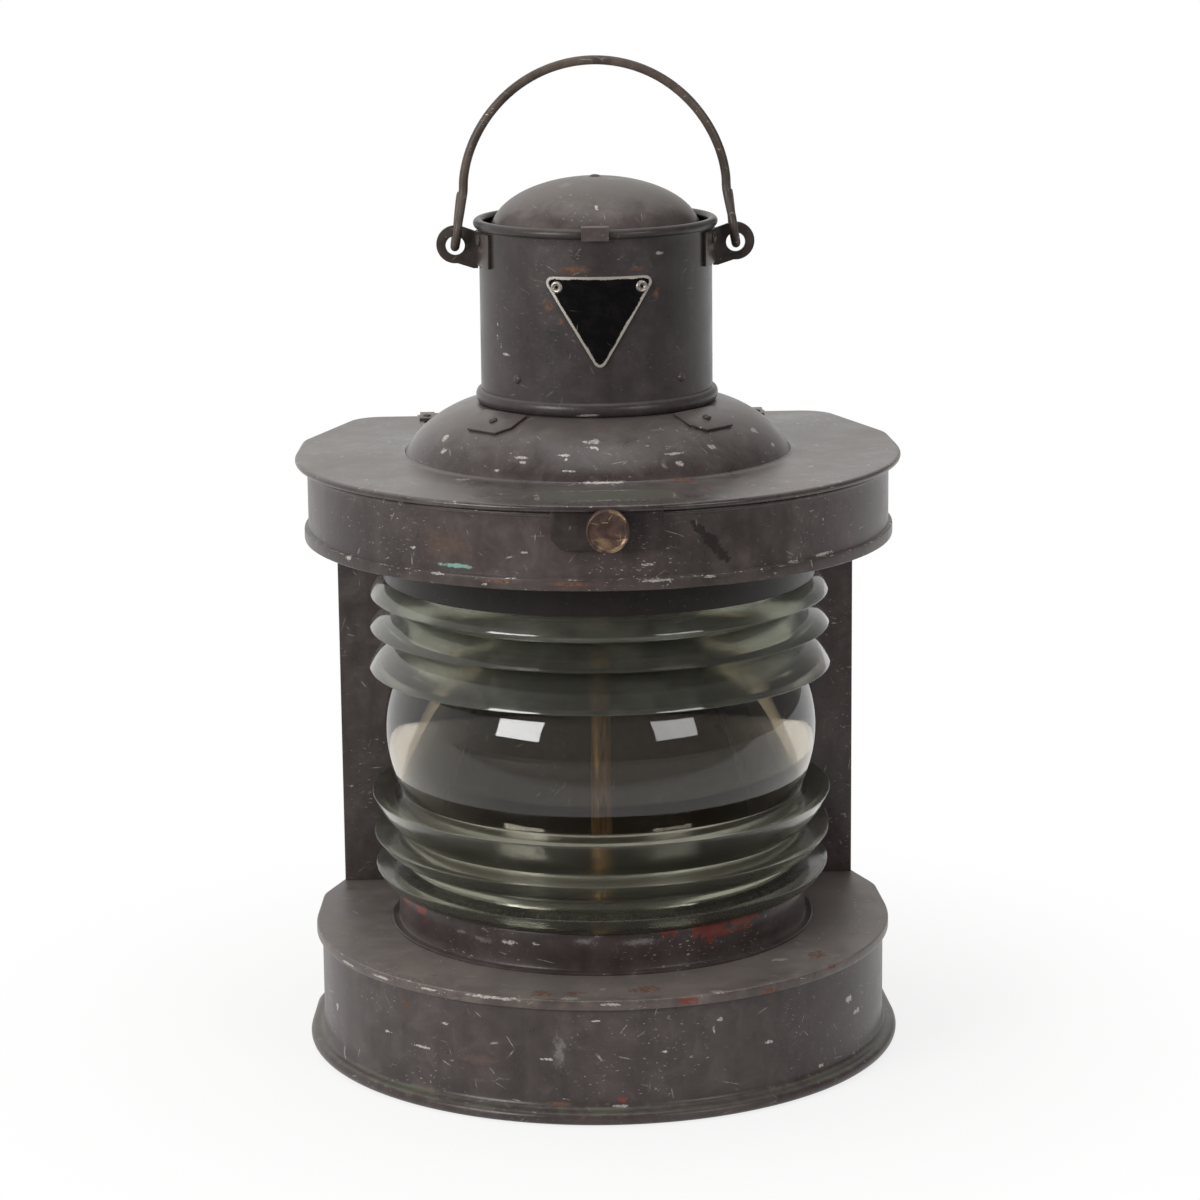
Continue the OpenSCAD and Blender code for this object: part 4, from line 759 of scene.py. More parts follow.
def rivet_tree():
    """A low round head on every point of the piece, along its aim and to its size."""
    tree = bpy.data.node_groups.new("rivet_heads", "GeometryNodeTree")
    face = tree.interface
    face.new_socket("Places", in_out="INPUT", socket_type="NodeSocketGeometry")
    face.new_socket("Facets", in_out="INPUT", socket_type="NodeSocketInt")
    face.new_socket("Rise", in_out="INPUT", socket_type="NodeSocketFloat")
    face.new_socket("Finish", in_out="INPUT", socket_type="NodeSocketMaterial")
    face.new_socket("Heads", in_out="OUTPUT", socket_type="NodeSocketGeometry")
    add, link = tree.nodes.new, tree.links.new
    start, end = add("NodeGroupInput"), add("NodeGroupOutput")
    ball = add("GeometryNodeMeshUVSphere")
    ball.inputs["Rings"].default_value = 14
    link(start.outputs["Facets"], ball.inputs["Segments"])
    parts, flat = add("ShaderNodeSeparateXYZ"), add("ShaderNodeCombineXYZ")
    link(add("GeometryNodeInputPosition").outputs[0], parts.inputs[0])
    above, low = add("ShaderNodeMath"), add("ShaderNodeMath")
    above.operation, low.operation = "MAXIMUM", "MULTIPLY"
    link(parts.outputs["Z"], above.inputs[0])
    above.inputs[1].default_value = -0.15
    link(above.outputs[0], low.inputs[0])
    link(start.outputs["Rise"], low.inputs[1])
    for axis in "XY":
        link(parts.outputs[axis], flat.inputs[axis])
    link(low.outputs[0], flat.inputs["Z"])
    head = add("GeometryNodeSetPosition")
    link(ball.outputs["Mesh"], head.inputs["Geometry"])
    link(flat.outputs[0], head.inputs["Position"])
    points = add("GeometryNodeMeshToPoints")
    link(start.outputs["Places"], points.inputs["Mesh"])

    def named(kind, name):
        node = add("GeometryNodeInputNamedAttribute")
        node.data_type = kind
        node.inputs["Name"].default_value = name
        return node.outputs["Attribute"]

    aim = add("FunctionNodeAlignRotationToVector")
    aim.axis = "Z"
    link(named("FLOAT_VECTOR", "aim"), aim.inputs["Vector"])
    put = add("GeometryNodeInstanceOnPoints")
    link(points.outputs[0], put.inputs["Points"])
    link(head.outputs[0], put.inputs["Instance"])
    link(aim.outputs[0], put.inputs["Rotation"])
    link(named("FLOAT", "size"), put.inputs["Scale"])
    real = add("GeometryNodeRealizeInstances")
    link(put.outputs[0], real.inputs[0])
    coat = add("GeometryNodeSetMaterial")
    link(real.outputs[0], coat.inputs["Geometry"])
    link(start.outputs["Finish"], coat.inputs["Material"])
    link(coat.outputs[0], end.inputs["Heads"])
    return tree


def grown(name, source_mesh, tree, values, body, slot, replaced=(), smooth=32, fields=None):
    """Runs a tree on a mesh with its named inputs set, and keeps the result as a plain piece."""
    holder = bpy.data.objects.new(name + "_source", source_mesh)
    scene.collection.objects.link(holder)
    step = holder.modifiers.new("growth", "NODES")
    step.node_group = tree
    for item in tree.interface.items_tree:
        if item.in_out == "INPUT" and item.name in values:
            step[item.identifier] = values[item.name]
    mesh = evaluated_mesh(holder)
    holder.modifiers.clear()
    bpy.data.objects.remove(holder)
    for extra in [a.name for a in mesh.attributes if a.name in ("aim", "size", "Place", "Share")]:
        mesh.attributes.remove(mesh.attributes[extra])
    mesh.name = name
    return dress(name, mesh, body, slot, replaced, smooth, fields)


def section_mesh(name, section):
    """Closed polyline of radius and height, drawn in the X-Z plane."""
    mesh = bpy.data.meshes.new(name + "_section")
    count = len(section)
    mesh.from_pydata([(r * MM, 0, h * MM) for r, h in section], [(i, (i + 1) % count) for i in range(count)], [])
    return mesh


SWEPT_RING, RIVET_HEADS = swept_ring_tree(), rivet_tree()


def cut_ring(name, section, cut, slot, replaced, stations=260, smooth=32, fields=None, body="housing"):
    return grown(name, section_mesh(name, section), SWEPT_RING, {
        "Stations": stations, "Back cut": cut * MM, "Finish": finishes[slot]}, body, slot, replaced, smooth, fields)


# Drum lens
LENS_MIDDLE, BELT_R, ROOT_R, BELT_HALF, PRISM_R, END_R, BORE_R = 171.1, 116.0, 108.4, 32.0, 123.3, 112.6, 104.0
PRISM_H, LEDGE_FALL, TOP_BAND = (21.5, 15.1, 15.3), (2.2, 2.7, 5.4), 4.6


def softened_corner(before, corner, after, radius, count=4):
    """A few points that round a corner of a section."""
    before, corner, after = map(np.asarray, (before, corner, after))
    a = corner + (before - corner) / np.linalg.norm(before - corner) * radius
    b = corner + (after - corner) / np.linalg.norm(after - corner) * radius
    return [tuple((1 - t) ** 2 * a + 2 * t * (1 - t) * corner + t * t * b) for t in np.linspace(0, 1, count)]


def lens_section():
    """Outer line of the belt and the prisms, then the bore."""
    curve_r = (BELT_HALF ** 2 + (BELT_R - ROOT_R) ** 2) / (2 * (BELT_R - ROOT_R))
    belt = [(BELT_R - curve_r + math.sqrt(curve_r ** 2 - h * h), h) for h in np.linspace(0, BELT_HALF - 0.4, 22)]
    upper, root = list(belt), BELT_HALF
    for i, (height, fall) in enumerate(zip(PRISM_H, LEDGE_FALL)):
        edge = (PRISM_R - 0.6 * i, root + fall)
        foot = (END_R if i == 2 else ROOT_R, root + height)
        face = [(edge[0] + (foot[0] - edge[0]) * t + 1.28 * math.sin(math.pi * t),
                 edge[1] + (foot[1] - edge[1]) * t + 0.96 * math.sin(math.pi * t)) for t in np.linspace(0, 1, 13)]
        ledge_start = (ROOT_R, root)
        upper += softened_corner(upper[-1], ledge_start, edge, 0.5, 3)
        upper += [tuple(np.asarray(ledge_start) + (np.asarray(edge) - ledge_start) * t) for t in (0.3, 0.6, 0.85)]
        upper += softened_corner(ledge_start, edge, face[1], 0.55, 5) + face[1:-1]
        root += height
    upper.append((END_R, root))
    lower = [(r, -h) for r, h in upper[:0:-1]]
    line = lower + upper + [(END_R, root + TOP_BAND)]
    bore = [(BORE_R, h) for h in np.linspace(root + TOP_BAND, -root, 44)]
    return [(r, h + LENS_MIDDLE) for r, h in line + bore]


def lens_and_collars():
    cut_ring("drum_lens", lens_section(), 62.0, "lens_glass", ["lens"], stations=360, smooth=24, fields={
        "thick": lambda x, y, z: np.clip((abs(z - LENS_MIDDLE) - BELT_HALF + 1.5) / 3, 0, 1) * (np.hypot(x, y) > BORE_R + 1)
        * np.where(z > LENS_MIDDLE, 1.0, 0.7),
        "blur": lambda x, y, z: np.clip((abs(z - LENS_MIDDLE) - BELT_HALF + 2) / 4, 0, 1) * (np.hypot(x, y) < BORE_R + 1)
        * np.where(z > LENS_MIDDLE, 1.0, 0.7),
        "dull": lambda x, y, z: 1.0 * (z < LENS_MIDDLE - BELT_HALF) * (np.hypot(x, y) > BORE_R + 1),
        "dust_and_sheen": lambda x, y, z: 0.5 * near(z, 118, 4) + 0.35 * near(z, 203, 3) + 0.3 * near(z, 252, 6)})
    cut_ring("lower_collar_ring", [
        (108.8, 65.3), (112.0, 65.3), (114.0, 65.35), (114.0, 66.2), (113.6, 66.5), (111.4, 66.6), (110.4, 66.9), (110.0, 67.6),
        (110.0, 72.0), (110.0, 80.0), (110.0, 85.2), (109.7, 85.9), (109.0, 86.2), (105.0, 86.2), (102.0, 86.2),
        (102.0, 85.0), (108.8, 85.0), (108.8, 75.0)], 68.0, "collar_paint", ["lower_collar"], fields={
            "red": lambda x, y, z: 0.25 * near(z, 85.5, 2.0) + blob(x, y, z, (52, -96, 84, 13, 0.62), (70, -84, 85, 12, 0.6),
                                   (-104, -30, 84, 14, 0.55), (-96, -52, 80, 12, 0.5), (30, -105, 85, 9, 0.4)),
            "rust": lambda x, y, z: 0.22 * near(z, 67, 2.5),
            "edge": lambda x, y, z: 0.3 * near(z, 85.9, 0.6),
            "chip": lambda x, y, z: blob(x, y, z, (-38, -103, 79, 5, 0.62), (-62, -90, 84, 7, 0.50), (-6, -110, 84, 6, 0.62),
                                         (32, -105, 82, 7, 0.42))})
    # The upper collar is darkened all round nearly to black: painted shade under the skirt's overhang.
    cut_ring("upper_collar_ring", [
        (113.8, 254.6), (114.4, 254.4), (114.9, 254.7), (115.0, 255.4), (115.0, 262.0), (115.0, 270.0), (115.1, 273.6),
        (115.6, 274.7), (116.8, 275.1), (123.0, 275.1), (123.0, 276.3), (113.8, 276.3), (113.8, 261.8), (102.0, 261.8),
        (102.0, 260.6), (113.8, 260.6)], 68.0, "collar_paint", ["upper_collar"], fields={
            "edge": lambda x, y, z: 0.3 * near(z, 254.7, 0.6), "soot_and_shade": lambda x, y, z: 1.0 + 0 * x,
            "chip": lambda x, y, z: blob(x, y, z, (-80, -82, 256, 5, 0.45))})
    cut_ring("bedding_putty", [(103, 86.2), (109.6, 86.2), (109.9, 86.5), (109.7, 87.0), (109.2, 87.2), (103, 87.2)], 62.0,
             "putty", ["lens_bed"])
    cut_ring("packing_putty", [(103, 259.6), (113.2, 259.6), (113.6, 260.0), (113.5, 260.6), (103, 260.6)], 62.0,
             "putty", ["lens_packing"])


def chimney_and_cap():
    wall = [(61.0, z) for z in np.linspace(344.4, 437.8, 26)]
    rim = rolled((61.4, RIM), 2.6, -72, 218, 22)
    inner = [(60.0, 438.6), (60.0, 400.0), (60.0, 344.4)]
    turned("chimney_tube", wall + [(61.15, 438.5)] + rim + inner, "lid", "chimney_paint", ["chimney"], stations=200, fields={
        "edge": lambda x, y, z: 0.45 * near(z, 439.6, 0.8) + 0.2 * near(z, 443.4, 1.0),
        "rust": lambda x, y, z: blob(x, y, z, (-20, -58, 422, 5, 0.40), (29.5, -54, 411, 5, 0.42), (-28, -54, 406, 5, 0.42)),
        "soot_and_shade": lambda x, y, z: 1.0 * (np.hypot(x, y) < 60.5),
        "dust_and_sheen": lambda x, y, z: 0.2 * near(z, 356, 3)})
    half = 3.75
    band = [(61.0, 347.3)] + [(61.0 + 2.8 * math.cos(a), 351.05 + half * math.sin(a))
                              for a in np.linspace(-math.pi / 2, math.pi / 2, 15)] + [(61.0, 354.8)]
    turned("chimney_foot_band", band, "lid", "chimney_paint", ["chimney_band"], stations=200, fields={
        "edge": lambda x, y, z: 0.3 * near(z, 352.4, 1.0), "dust_and_sheen": lambda x, y, z: 0.4 * near(z, 354, 1.2)})
    ball, middle, high = 73.58, 391.22, 23.6

    def bowl(inset, a):
        """Point of the bowl's line, between a ball and a fuller oval, set in by a distance."""
        rise = high * math.sin(a)
        full = 0.65 * 54 * math.cos(a) + 0.35 * math.sqrt(ball ** 2 - (RIM + rise - middle) ** 2) * (a < 1.57)
        return (54 - inset) / 54 * full, RIM + rise * (high - inset) / high

    turns = np.linspace(0, math.pi / 2, 34)
    cap = [bowl(0, a) for a in turns]
    under = [bowl(1.2, a) for a in turns[::-2]]
    edge = rolled((53.5, RIM + 0.1), 0.8, 200, 390, 9)
    turned("cap_bowl", cap + under + [(52.9, 440.9)] + edge, "lid", "cap_paint", ["cap_dome"], stations=160, smooth=40, fields={
        "edge": lambda x, y, z: 0.4 * near(z, 441.6, 0.7),
        "dust_and_sheen": lambda x, y, z: 0.35 * near(np.hypot(x, y), 0, 34) + blob(x, y, z, (-18, -20, 458, 7, 0.8)),
        "chip": lambda x, y, z: blob(x, y, z, (1, -38, 455, 3.5, 0.62), (20, -46, 448, 4, 0.42), (-18, -24, 459, 3, 0.5))})


def front_plate():
    """Triangular plate with round corners, wrapped round the chimney, in rings from its edge to its middle."""
    width, height, corner, top = 54.0, 46.5, 3.4, RIM - 21.5
    radius_in, thick = 61.3, 0.9
    spots = [np.array(p) for p in ((-width / 2 + corner, -corner), (0, -height + corner), (width / 2 - corner, -corner))]
    line = []
    for k, spot in enumerate(spots):
        before, after = spots[k - 1], spots[(k + 1) % 3]
        out1, out2 = (spot - before), (after - spot)
        a1 = math.degrees(math.atan2(-out1[0], out1[1]))
        a2 = math.degrees(math.atan2(-out2[0], out2[1]))
        if a2 < a1:
            a2 += 360
        start = spot + corner * unit(a1)
        if line:
            line += [line[-1] + (start - line[-1]) * t for t in np.linspace(0, 1, 26)[1:-1]]
        line += arc(spot, corner, a1, a2, 12)
    line += [line[-1] + (line[0] - line[-1]) * t for t in np.linspace(0, 1, 26)[1:-1]]
    line = np.array(line)
    middle = np.array([0, -height * 0.36])

    def wrapped(share, rise):
        flat = middle + (line - middle) * share
        r = radius_in + rise
        return np.column_stack([flat[:, 0], -np.sqrt(r * r - flat[:, 0] ** 2), top + flat[:, 1]])

    shares = [1.0, 0.985, 0.96, 0.93, 0.89, 0.84, 0.78, 0.7, 0.6, 0.48, 0.35, 0.22, 0.1, 0.0]
    rings = [wrapped(s, 0) for s in shares[::-2]] + [wrapped(1.0, 0), wrapped(1.0, thick - 0.2)]
    rings += [wrapped(0.992, thick)] + [wrapped(s, thick) for s in shares[1:]]
    points, faces = shell(rings)
    faces = faces[:-len(line)]
    plate = new_piece("front_plate_sheet", points, faces, "lid", "plate_black", ["front_plate"])
    merge(plate)
    drilled(plate, [((side * 21.4, -57.5, top - 5.4), (0, 1, 0), 1.3) for side in (-1, 1)])
    border = lambda x, z: np.min(np.hypot(x[:, None] - line[:, 0], z[:, None] - top - line[:, 1]), axis=1)
    paint_fields(plate, {
        "edge": lambda x, y, z: 1 - border(x, z) / 2.9,
        "rust": lambda x, y, z: blob(x, y, z, (-14, -60, 420, 3, 0.5), (21, -58, 419, 2.5, 0.45))})


def merge(piece, reach=2e-6):
    bm = bmesh.new()
    bm.from_mesh(piece.data)
    bmesh.ops.remove_doubles(bm, verts=bm.verts, dist=reach)
    bmesh.ops.recalc_face_normals(bm, faces=bm.faces)
    bm.to_mesh(piece.data)
    bm.free()


def softened(node, slot, body, width=0.3, name=None, smooth=30, fields=None, segments=2):
    """A copy of a CAD piece with its edges softened, which stands for it."""
    bm = bmesh.new()
    bm.from_mesh(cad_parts[node].data)
    bmesh.ops.remove_doubles(bm, verts=bm.verts, dist=2e-6)
    bmesh.ops.dissolve_limit(bm, angle_limit=math.radians(0.6), verts=bm.verts, edges=bm.edges)
    sharp = [e for e in bm.edges if len(e.link_faces) == 2 and e.calc_face_angle(0) > math.radians(smooth)]
    if width:
        bmesh.ops.bevel(bm, geom=sharp, offset=width * MM, segments=segments, profile=0.6, affect="EDGES", clamp_overlap=True)
    mesh = bpy.data.meshes.new(name or node + "_soft")
    bm.to_mesh(mesh)
    bm.free()
    return dress(name or node + "_soft", mesh, body, slot, [node], smooth, fields)


def bail():
    """Wire bail: a smooth line through the crown, the legs, the loops through the ears and the turned-up tails."""
    ear_x, pivot, loop, wire, arch = 73.4, 437.25, 8.5, 2.4, 67.6
    high = pivot + 90 - wire - arch
    top_x, leg_h = ear_x - 4.6, high - pivot

    def hang(share, out, y):
        """Point of the slanted leg at a share of its height."""
        return hang_x(share * leg_h) + out, y, pivot + share * leg_h

    def hang_x(up):
        return top_x + (ear_x + 0.1 - top_x) * (leg_h - up) / (leg_h + loop)

    tail = [hang(1, 0.9, 0.66 * loop), hang(0.75, 0.9, 0.69 * loop), hang(0.5, 0.8, 0.8 * loop), hang(0.25, 0.6, 0.95 * loop)]
    hook = [(hang_x(loop * math.sin(a)) + 0.1 + 0.2 * math.cos(a), loop * math.cos(a), pivot + loop * math.sin(a))
            for a in np.radians(np.arange(0, -181, -22.5))]
    leg = [hang(0.25, 0.1, -0.92 * loop), hang(0.45, 0, -0.62 * loop), hang(0.65, 0, -0.3 * loop), hang(0.83, 0, -0.09 * loop)]
    crown = [((arch + (top_x - arch) * math.cos(a) ** 6) * math.cos(a), 0, high + arch * math.sin(a))
             for a in np.radians(range(0, 91, 6))]
    right = np.array(tail + hook + leg + crown)
    line = np.concatenate([right, right[-2::-1] * [-1, 1, 1]])
    steps = np.concatenate([[0], np.cumsum(np.linalg.norm(np.diff(line, axis=0), axis=1))])
    fine = np.arange(0, steps[-1], 1.2)
    fine = np.concatenate([fine, [steps[-1]]])
    path = np.column_stack([smooth_through(steps, line[:, k], fine) for k in range(3)])
    sides, rings = 20, []
    way = np.gradient(path, axis=0)
    way /= np.linalg.norm(way, axis=1)[:, None]
    across = np.array([0.0, 1.0, 0.0])
    ends = min(len(path), 10 ** 9)
    for i in range(ends):
        across = across - way[i] * (across @ way[i])
        across /= np.linalg.norm(across)
        other = np.cross(way[i], across)
        reach = min(fine[i], steps[-1] - fine[i])
        r = wire * (math.sqrt(max(0.0, 1 - (1 - reach / 1.6) ** 2)) if reach < 1.6 else 1) + 0.001
        r *= 1 + 0.008 * math.sin(fine[i] * 0.21) + 0.006 * math.sin(fine[i] * 0.083 + 1)
        r = min(r, wire) * (1 - 0.10 * near(path[i, 2], pivot + 5, 8))
        rings.append([path[i] + r * (math.cos(a) * across + math.sin(a) * other)
                      for a in np.linspace(0, 2 * math.pi, sides, endpoint=False)])
    rings = np.array(rings)
    points = rings.reshape(-1, 3)
    faces = [[i * sides + k, i * sides + (k + 1) % sides, (i + 1) * sides + (k + 1) % sides, (i + 1) * sides + k]
             for i in range(len(rings) - 1) for k in range(sides)]
    faces += [list(range(sides))[::-1], [(len(rings) - 1) * sides + k for k in range(sides)]]
    new_piece("bail_wire_loop", points, faces, "bail", "bail_wire", ["bail"], smooth=50, fields={
        "edge": lambda x, y, z: 0.22 * near(z, 437, 14) + 0.10,
        "rust": lambda x, y, z: blob(x, y, z, (0, 0, 525, 30, 0.30), (66, 0, 480, 16, 0.42), (-67, 0, 470, 20, 0.40),
                                     (73, 0, 440, 12, 0.45), (-73, 0, 440, 12, 0.45))})


def smooth_through(at, values, wanted):
    """Cubic curve through values, with slopes from the neighbours on both sides."""
    slope = np.gradient(values, at)
    k = np.clip(np.searchsorted(at, wanted, side="right") - 1, 0, len(at) - 2)
    h = at[k + 1] - at[k]
    t = (wanted - at[k]) / h
    return ((2 * t ** 3 - 3 * t ** 2 + 1) * values[k] + (t ** 3 - 2 * t ** 2 + t) * h * slope[k]
            + (3 * t ** 2 - 2 * t ** 3) * values[k + 1] + (t ** 3 - t ** 2) * h * slope[k + 1])


def latch_and_keeper():
    stud_z, back_y, boss = 308.0, -160.5, 160.5 - 158.5
    keeper_out = 152 + 1.7 + 1.6 + 0.6 + 1.4
    boss_h = -(keeper_out + 1.2) + 160.5
    rim_r, depth = 10.9, 5.0
    section = [(3.05, -boss_h), (5.2, -boss_h), (5.5, -boss_h + 0.3), (5.5, -0.3), (5.8, 0.0), (9.6, 0.0), (10.5, 0.3),
               (10.9, 1.1), (10.9, 2.6), (10.88, 4.0), (10.6, 4.7), (10.1, 5.0), (9.7, 4.95), (9.3, 4.6), (8.9, 4.25),
               (8.2, 4.1), (6.0, 4.15), (3.0, 4.35), (0.0, 4.5), (0.0, 3.3), (3.05, 3.3)]
    turned("clamping_knob", section, "knob", "knob_brass", ["latch_knob"], (0, back_y, stud_z), (0, -1, 0), 72, fields={
        "edge": lambda x, y, z: 0.22 + 0.5 * near(np.hypot(x, z - stud_z), rim_r - 0.8, 1.0) * near(x, 5, 6)
        + blob(x, y, z, (-3, -165, 302, 4, 0.3), (6, -165, 304, 3, 0.25))})
    softened("keeper_plate", "keeper_paint", "lid", 0.35, "keeper_sheet", fields={
        "edge": lambda x, y, z: 0.45 * near(z, 297.6, 1.0) + 0.35 * near(z, 316.2, 0.8),
        "chip": lambda x, y, z: blob(x, y, z, (18, -156, 312, 4, 0.5), (-20, -155, 301, 4, 0.45))})
    softened("latch_stud", "lamp_brass", "housing", 0.2, "knob_stud")


def down_the_dome(point):
    """Moves a point that lies on the dome outwards along it, most at the lugs' outer ends."""
    x, y, z = point
    r = math.hypot(x, y)
    further = r + 9 * min(max((r - 63) / 12, 0), 1)
    drop = dome_height(further) - dome_height(r)
    return x * further / r, y * further / r, z + drop


def dome_height(r):
    return ROOF_TOP + 27.2 * (1 - min(max((r - 61.3) / 40.7, 0), 1) ** 1.7) ** 0.74


def rivets():
    """All small round heads, one mesh for each body."""
    def slope_lug(angle):
        low, high = np.array(dome_curve(0.66)), np.array(dome_curve(0.97))
        tilt = math.atan2(high[1] - low[1], low[0] - high[0])
        turn = math.radians(angle)
        local = np.array([0, 5.5 * math.cos(tilt) - 1.2 * math.sin(tilt), 5.5 * math.sin(tilt) + 1.2 * math.cos(tilt)])
        local += [0, -low[0], low[1] + 0.7]
        aim = np.array([0, -math.sin(tilt), math.cos(tilt)])
        spin = np.array([[math.cos(turn), -math.sin(turn), 0], [math.sin(turn), math.cos(turn), 0], [0, 0, 1]])
        return spin @ local, spin @ aim

    def wall(angle, radius, z):
        way = np.array([math.sin(math.radians(angle)), -math.cos(math.radians(angle)), 0])
        return way * radius + [0, 0, z], way

    groups = {
        "housing": ([((s * 84 + d * 8, 117.2, 302.3), (0, 1, 0), 2.4) for s in (-1, 1) for d in (-1, 1)], ["hinge_rivets"]),
        "lid": ([((s * 84 + d * 8, 110.5, 321.4), (0, 0, 1), 2.4) for s in (-1, 1) for d in (-1, 1)]
                + [(*wall(a, 61.0, 365.0), 2.4) for a in (-44, 44)]
                + [(down_the_dome(slope_lug(a)[0]), slope_lug(a)[1], 2.3) for a in (-47, 47)]
                + [(*wall(s * 77, 62.75, 433.5), 3.0) for s in (-1, 1)]
                + [((0, 0, 464.1), (0, 0, 1), 3.4)],
                ["roof_hinge_rivets", "chimney_rivets", "lug_rivets", "ear_rivets", "cap_rivet"]),
    }
    for body, (places, replaced) in groups.items():
        mesh = bpy.data.meshes.new(body + "_rivet_places")
        mesh.from_pydata([tuple(np.asarray(p) * MM) for p, _, _ in places], [], [])
        mesh.attributes.new("aim", "FLOAT_VECTOR", "POINT").data.foreach_set(
            "vector", np.array([w for _, w, _ in places], dtype=np.float32).ravel())
        mesh.attributes.new("size", "FLOAT", "POINT").data.foreach_set("value", [s * MM for _, _, s in places])
        grown(body + "_rivet_heads", mesh, RIVET_HEADS, {"Facets": 28, "Rise": 0.5, "Finish": finishes["hardware_paint"]},
              body, "hardware_paint", replaced, fields={"edge": lambda x, y, z: 0.25 + 0 * x})


def fittings():
    """Pieces that keep their CAD form with softened edges."""
    for node, slot, body, width in (
            ("ear_left", "hardware_paint", "lid", 0.7), ("ear_right", "hardware_paint", "lid", 0.7),
            ("cap_strap", "cap_paint", "lid", 0.3), ("dome_lugs", "roof_paint", "lid", 0.35),
            ("roof_hinge_leaves", "hardware_paint", "lid", 0.3), ("skirt_hinge_leaves", "hardware_paint", "housing", 0.3),
            ("hinge_pins", "bare_metal", "housing", 0.25), ("plate_eyelets", "bare_metal", "lid", 0.0),
            ("screen_plate", "body_paint", "housing", 0.3), ("back_housing", "body_paint", "housing", 0.3),
            ("lens_stiles", "body_paint", "housing", 0.3), ("skirt_deck", "skirt_paint", "housing", 0.2),
            ("base_floor", "body_paint", "housing", 0.3)):
        piece = softened(node, slot, body, width, fields={"edge": lambda x, y, z: 0.12 + 0 * x})
        if node == "dome_lugs":
            for vertex in piece.data.vertices:
                vertex.co = Vector(down_the_dome(vertex.co / MM)) * MM


def lamp():
    """Brass lamp: font, burner and wick, seen through the glass and from above."""
    font = [(0, 1.2), (58.0, 1.2), (60.6, 1.5), (61.7, 2.6), (62.0, 4.0), (62.0, 20.0), (62.0, 39.5), (61.6, 41.6), (60.4, 43.2),
            (57.0, 44.6), (45.0, 47.5), (34.0, 49.8), (26.0, 51.0), (20.5, 51.2), (18.6, 51.6), (18.0, 52.6), (18.0, 56.6),
            (17.6, 57.2), (14.4, 57.2), (14.0, 56.8), (14.0, 47.4), (56.0, 41.4), (60.8, 39.0), (60.8, 2.6), (0, 2.4)]
    font_body = turned("oil_font_can", font, "housing", "lamp_brass", ["oil_font"], stations=128)
    drilled(font_body, [((0, -40.0, 48.0), (0, 0, 1), 8.05)])
    turned("filler_neck_tube", [(8.0, 41.2), (8.0, 53.2), (7.6, 53.7), (6.6, 53.7), (6.2, 53.3), (6.2, 41.2)], "housing",
           "lamp_brass", ["filler_neck"], (0, -40.0, 0), stations=48)
    turned("filler_screw_cap", [(8.3, 50.7), (10.3, 50.7), (10.5, 51.0), (10.5, 55.9), (10.2, 56.5), (9.4, 57.1), (8.4, 57.3),
                                (0, 57.4), (0, 54.1), (8.3, 54.1)], "filler_cap", "lamp_brass", ["filler_cap"], (0, -40.0, 0),
           stations=60, fields={"edge": lambda x, y, z: 0.5 * near(z, 57, 0.8)})
    softened("burner", "lamp_brass", "housing", 0.25, "burner_body", fields={"edge": lambda x, y, z: 0.5 + 0 * x})
    softened("wick_tube", "lamp_brass", "housing", 0.0, "wick_tube_sheet", fields={"edge": lambda x, y, z: 0.55 + 0 * x})
    softened("wick", "wick_fabric", "wick", 0.5, "wick_cord")
    softened("wick_wheel", "lamp_brass", "wick_wheel", 0.2, "wick_wheel_brass")
    softened("font_ring", "bare_metal", "housing", 0.3, "font_locating_ring")


base_wall()
base_top()
skirt()
roof()
lens_and_collars()
chimney_and_cap()
front_plate()
bail()
latch_and_keeper()
rivets()
fittings()
lamp()


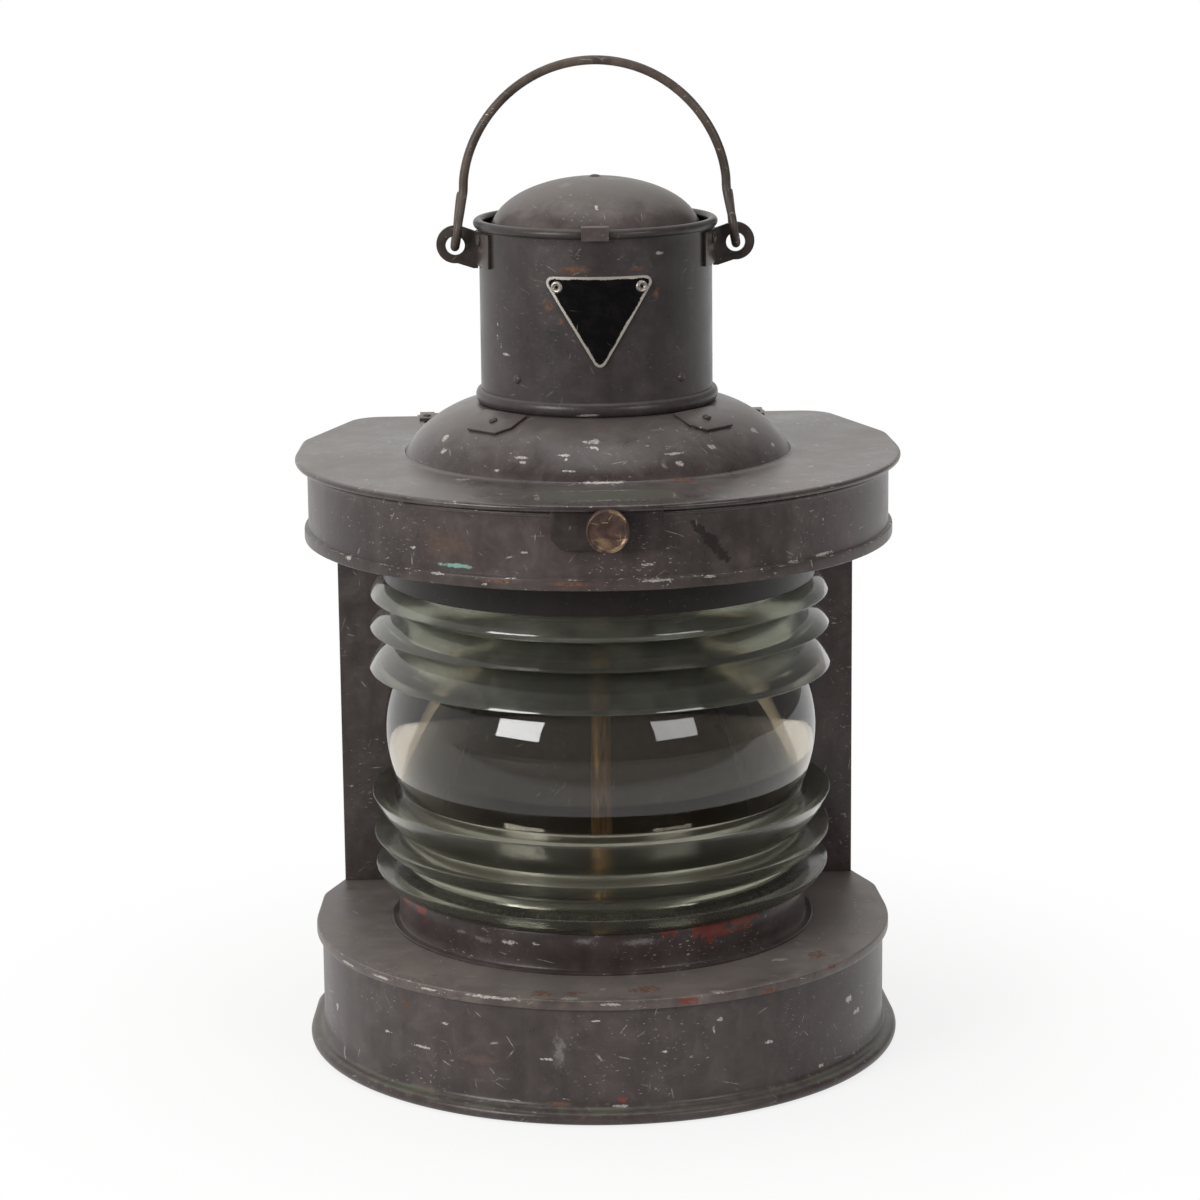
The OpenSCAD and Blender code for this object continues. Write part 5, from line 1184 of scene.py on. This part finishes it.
def stage():
    """Pale floor and white surroundings; the floor keeps a faint shadow, and is painted grey towards the front as
    shade.
    """
    f = Finish("floor_paper")
    rays = f.node("ShaderNodeLightPath", output="Is Camera Ray")
    mirrored = f.node("ShaderNodeLightPath", output="Is Glossy Ray")
    through = f.node("ShaderNodeLightPath", output="Is Transmission Ray")
    fibre = f.noise(300, 3.0)
    glow = f.node("ShaderNodeEmission", inputs={"Color": (1, 1, 1, 1), "Strength": 1.0})
    away = f.vector("LENGTH", f.place, output="Value")
    # Towards the front the paper is grey and its glow in reflections fades: painted shade that dims the floor's bounce
    # and reflection there.
    front = f.ramp(f.node("ShaderNodeSeparateXYZ", inputs={0: f.place}, output="Y"), -0.62, -0.32, 0.16, 1.0)
    share = (rays | mirrored * front | through) * f.ramp(away, 0.16, 0.42, 0.80, 1.0)
    paper = f.surface(Base_Color=f.mix(front, tone("77726c"), f.mix(fibre, tone("e6e5e4"), tone("ececeb"))), Roughness=0.9,
                      Normal=f.relief(fibre * 0.00005))
    f.done(f.node("ShaderNodeMixShader", inputs={0: share, 1: paper, 2: glow}))
    mesh = bpy.data.meshes.new("floor")
    mesh.from_pydata([(-9, -9, -0.0004), (9, -9, -0.0004), (9, 9, -0.0004), (-9, 9, -0.0004)], [], [(0, 1, 2, 3)])
    mesh.materials.append(f.material)
    floor = bpy.data.objects.new("floor", mesh)
    scene.collection.objects.link(floor)

    world = bpy.data.worlds.new("studio")
    scene.world = world
    world.use_nodes = True
    tree = world.node_tree
    tree.nodes.clear()
    add, link = tree.nodes.new, tree.links.new
    path, out, both = add("ShaderNodeLightPath"), add("ShaderNodeOutputWorld"), add("ShaderNodeMixShader")
    white, room = add("ShaderNodeBackground"), add("ShaderNodeBackground")
    white.inputs["Color"].default_value, white.inputs["Strength"].default_value = (1, 1, 1, 1), 1.0
    place, parts, share = add("ShaderNodeTexCoord"), add("ShaderNodeSeparateXYZ"), add("ShaderNodeMapRange")
    link(place.outputs["Generated"], parts.inputs[0])
    link(parts.outputs["Y"], share.inputs["Value"])
    for key, value in (("From Min", -0.75), ("From Max", 0.35), ("To Min", 0.16), ("To Max", 1.0)):
        share.inputs[key].default_value = value
    share.interpolation_type = "SMOOTHSTEP"
    room.inputs["Color"].default_value = (1.0, 0.99, 0.975, 1)
    shade, both_shares = add("ShaderNodeMapRange"), add("ShaderNodeMath")
    link(parts.outputs["X"], shade.inputs["Value"])
    for key, value in (("From Min", 0.15), ("From Max", 0.75), ("To Min", 1.0), ("To Max", 0.30)):
        shade.inputs[key].default_value = value
    both_shares.operation = "MULTIPLY"
    link(share.outputs["Result"], both_shares.inputs[0])
    link(shade.outputs["Result"], both_shares.inputs[1])
    link(both_shares.outputs[0], room.inputs["Strength"])
    link(path.outputs["Is Camera Ray"], both.inputs[0])
    link(room.outputs[0], both.inputs[1])
    link(white.outputs[0], both.inputs[2])
    link(both.outputs[0], out.inputs["Surface"])


def softbox(name, azimuth, elevation, reach, width, height, power, colour=(1, 1, 1)):
    """Soft lamp that looks at the middle of the lantern. Azimuth is from the front, positive to the right."""
    data = bpy.data.lights.new(name, "AREA")
    data.shape, data.size, data.size_y, data.energy, data.color = "RECTANGLE", width, height, power, colour
    lamp_object = bpy.data.objects.new(name, data)
    scene.collection.objects.link(lamp_object)
    a, e = math.radians(azimuth), math.radians(elevation)
    spot = Vector((math.sin(a) * math.cos(e), -math.cos(a) * math.cos(e), math.sin(e))) * reach + Vector((0, 0, 0.24))
    lamp_object.location = spot
    lamp_object.rotation_euler = (Vector((0, 0, 0.24)) - spot).to_track_quat("-Z", "Y").to_euler()


stage()
softbox("left_box", -46, 20, 2.4, 1.0, 0.76, 36)
softbox("right_box", 39, 20, 2.4, 0.95, 0.72, 14)
softbox("top_box", -4, 80, 2.2, 1.4, 1.4, 11)

scene.view_settings.view_transform = "Standard"
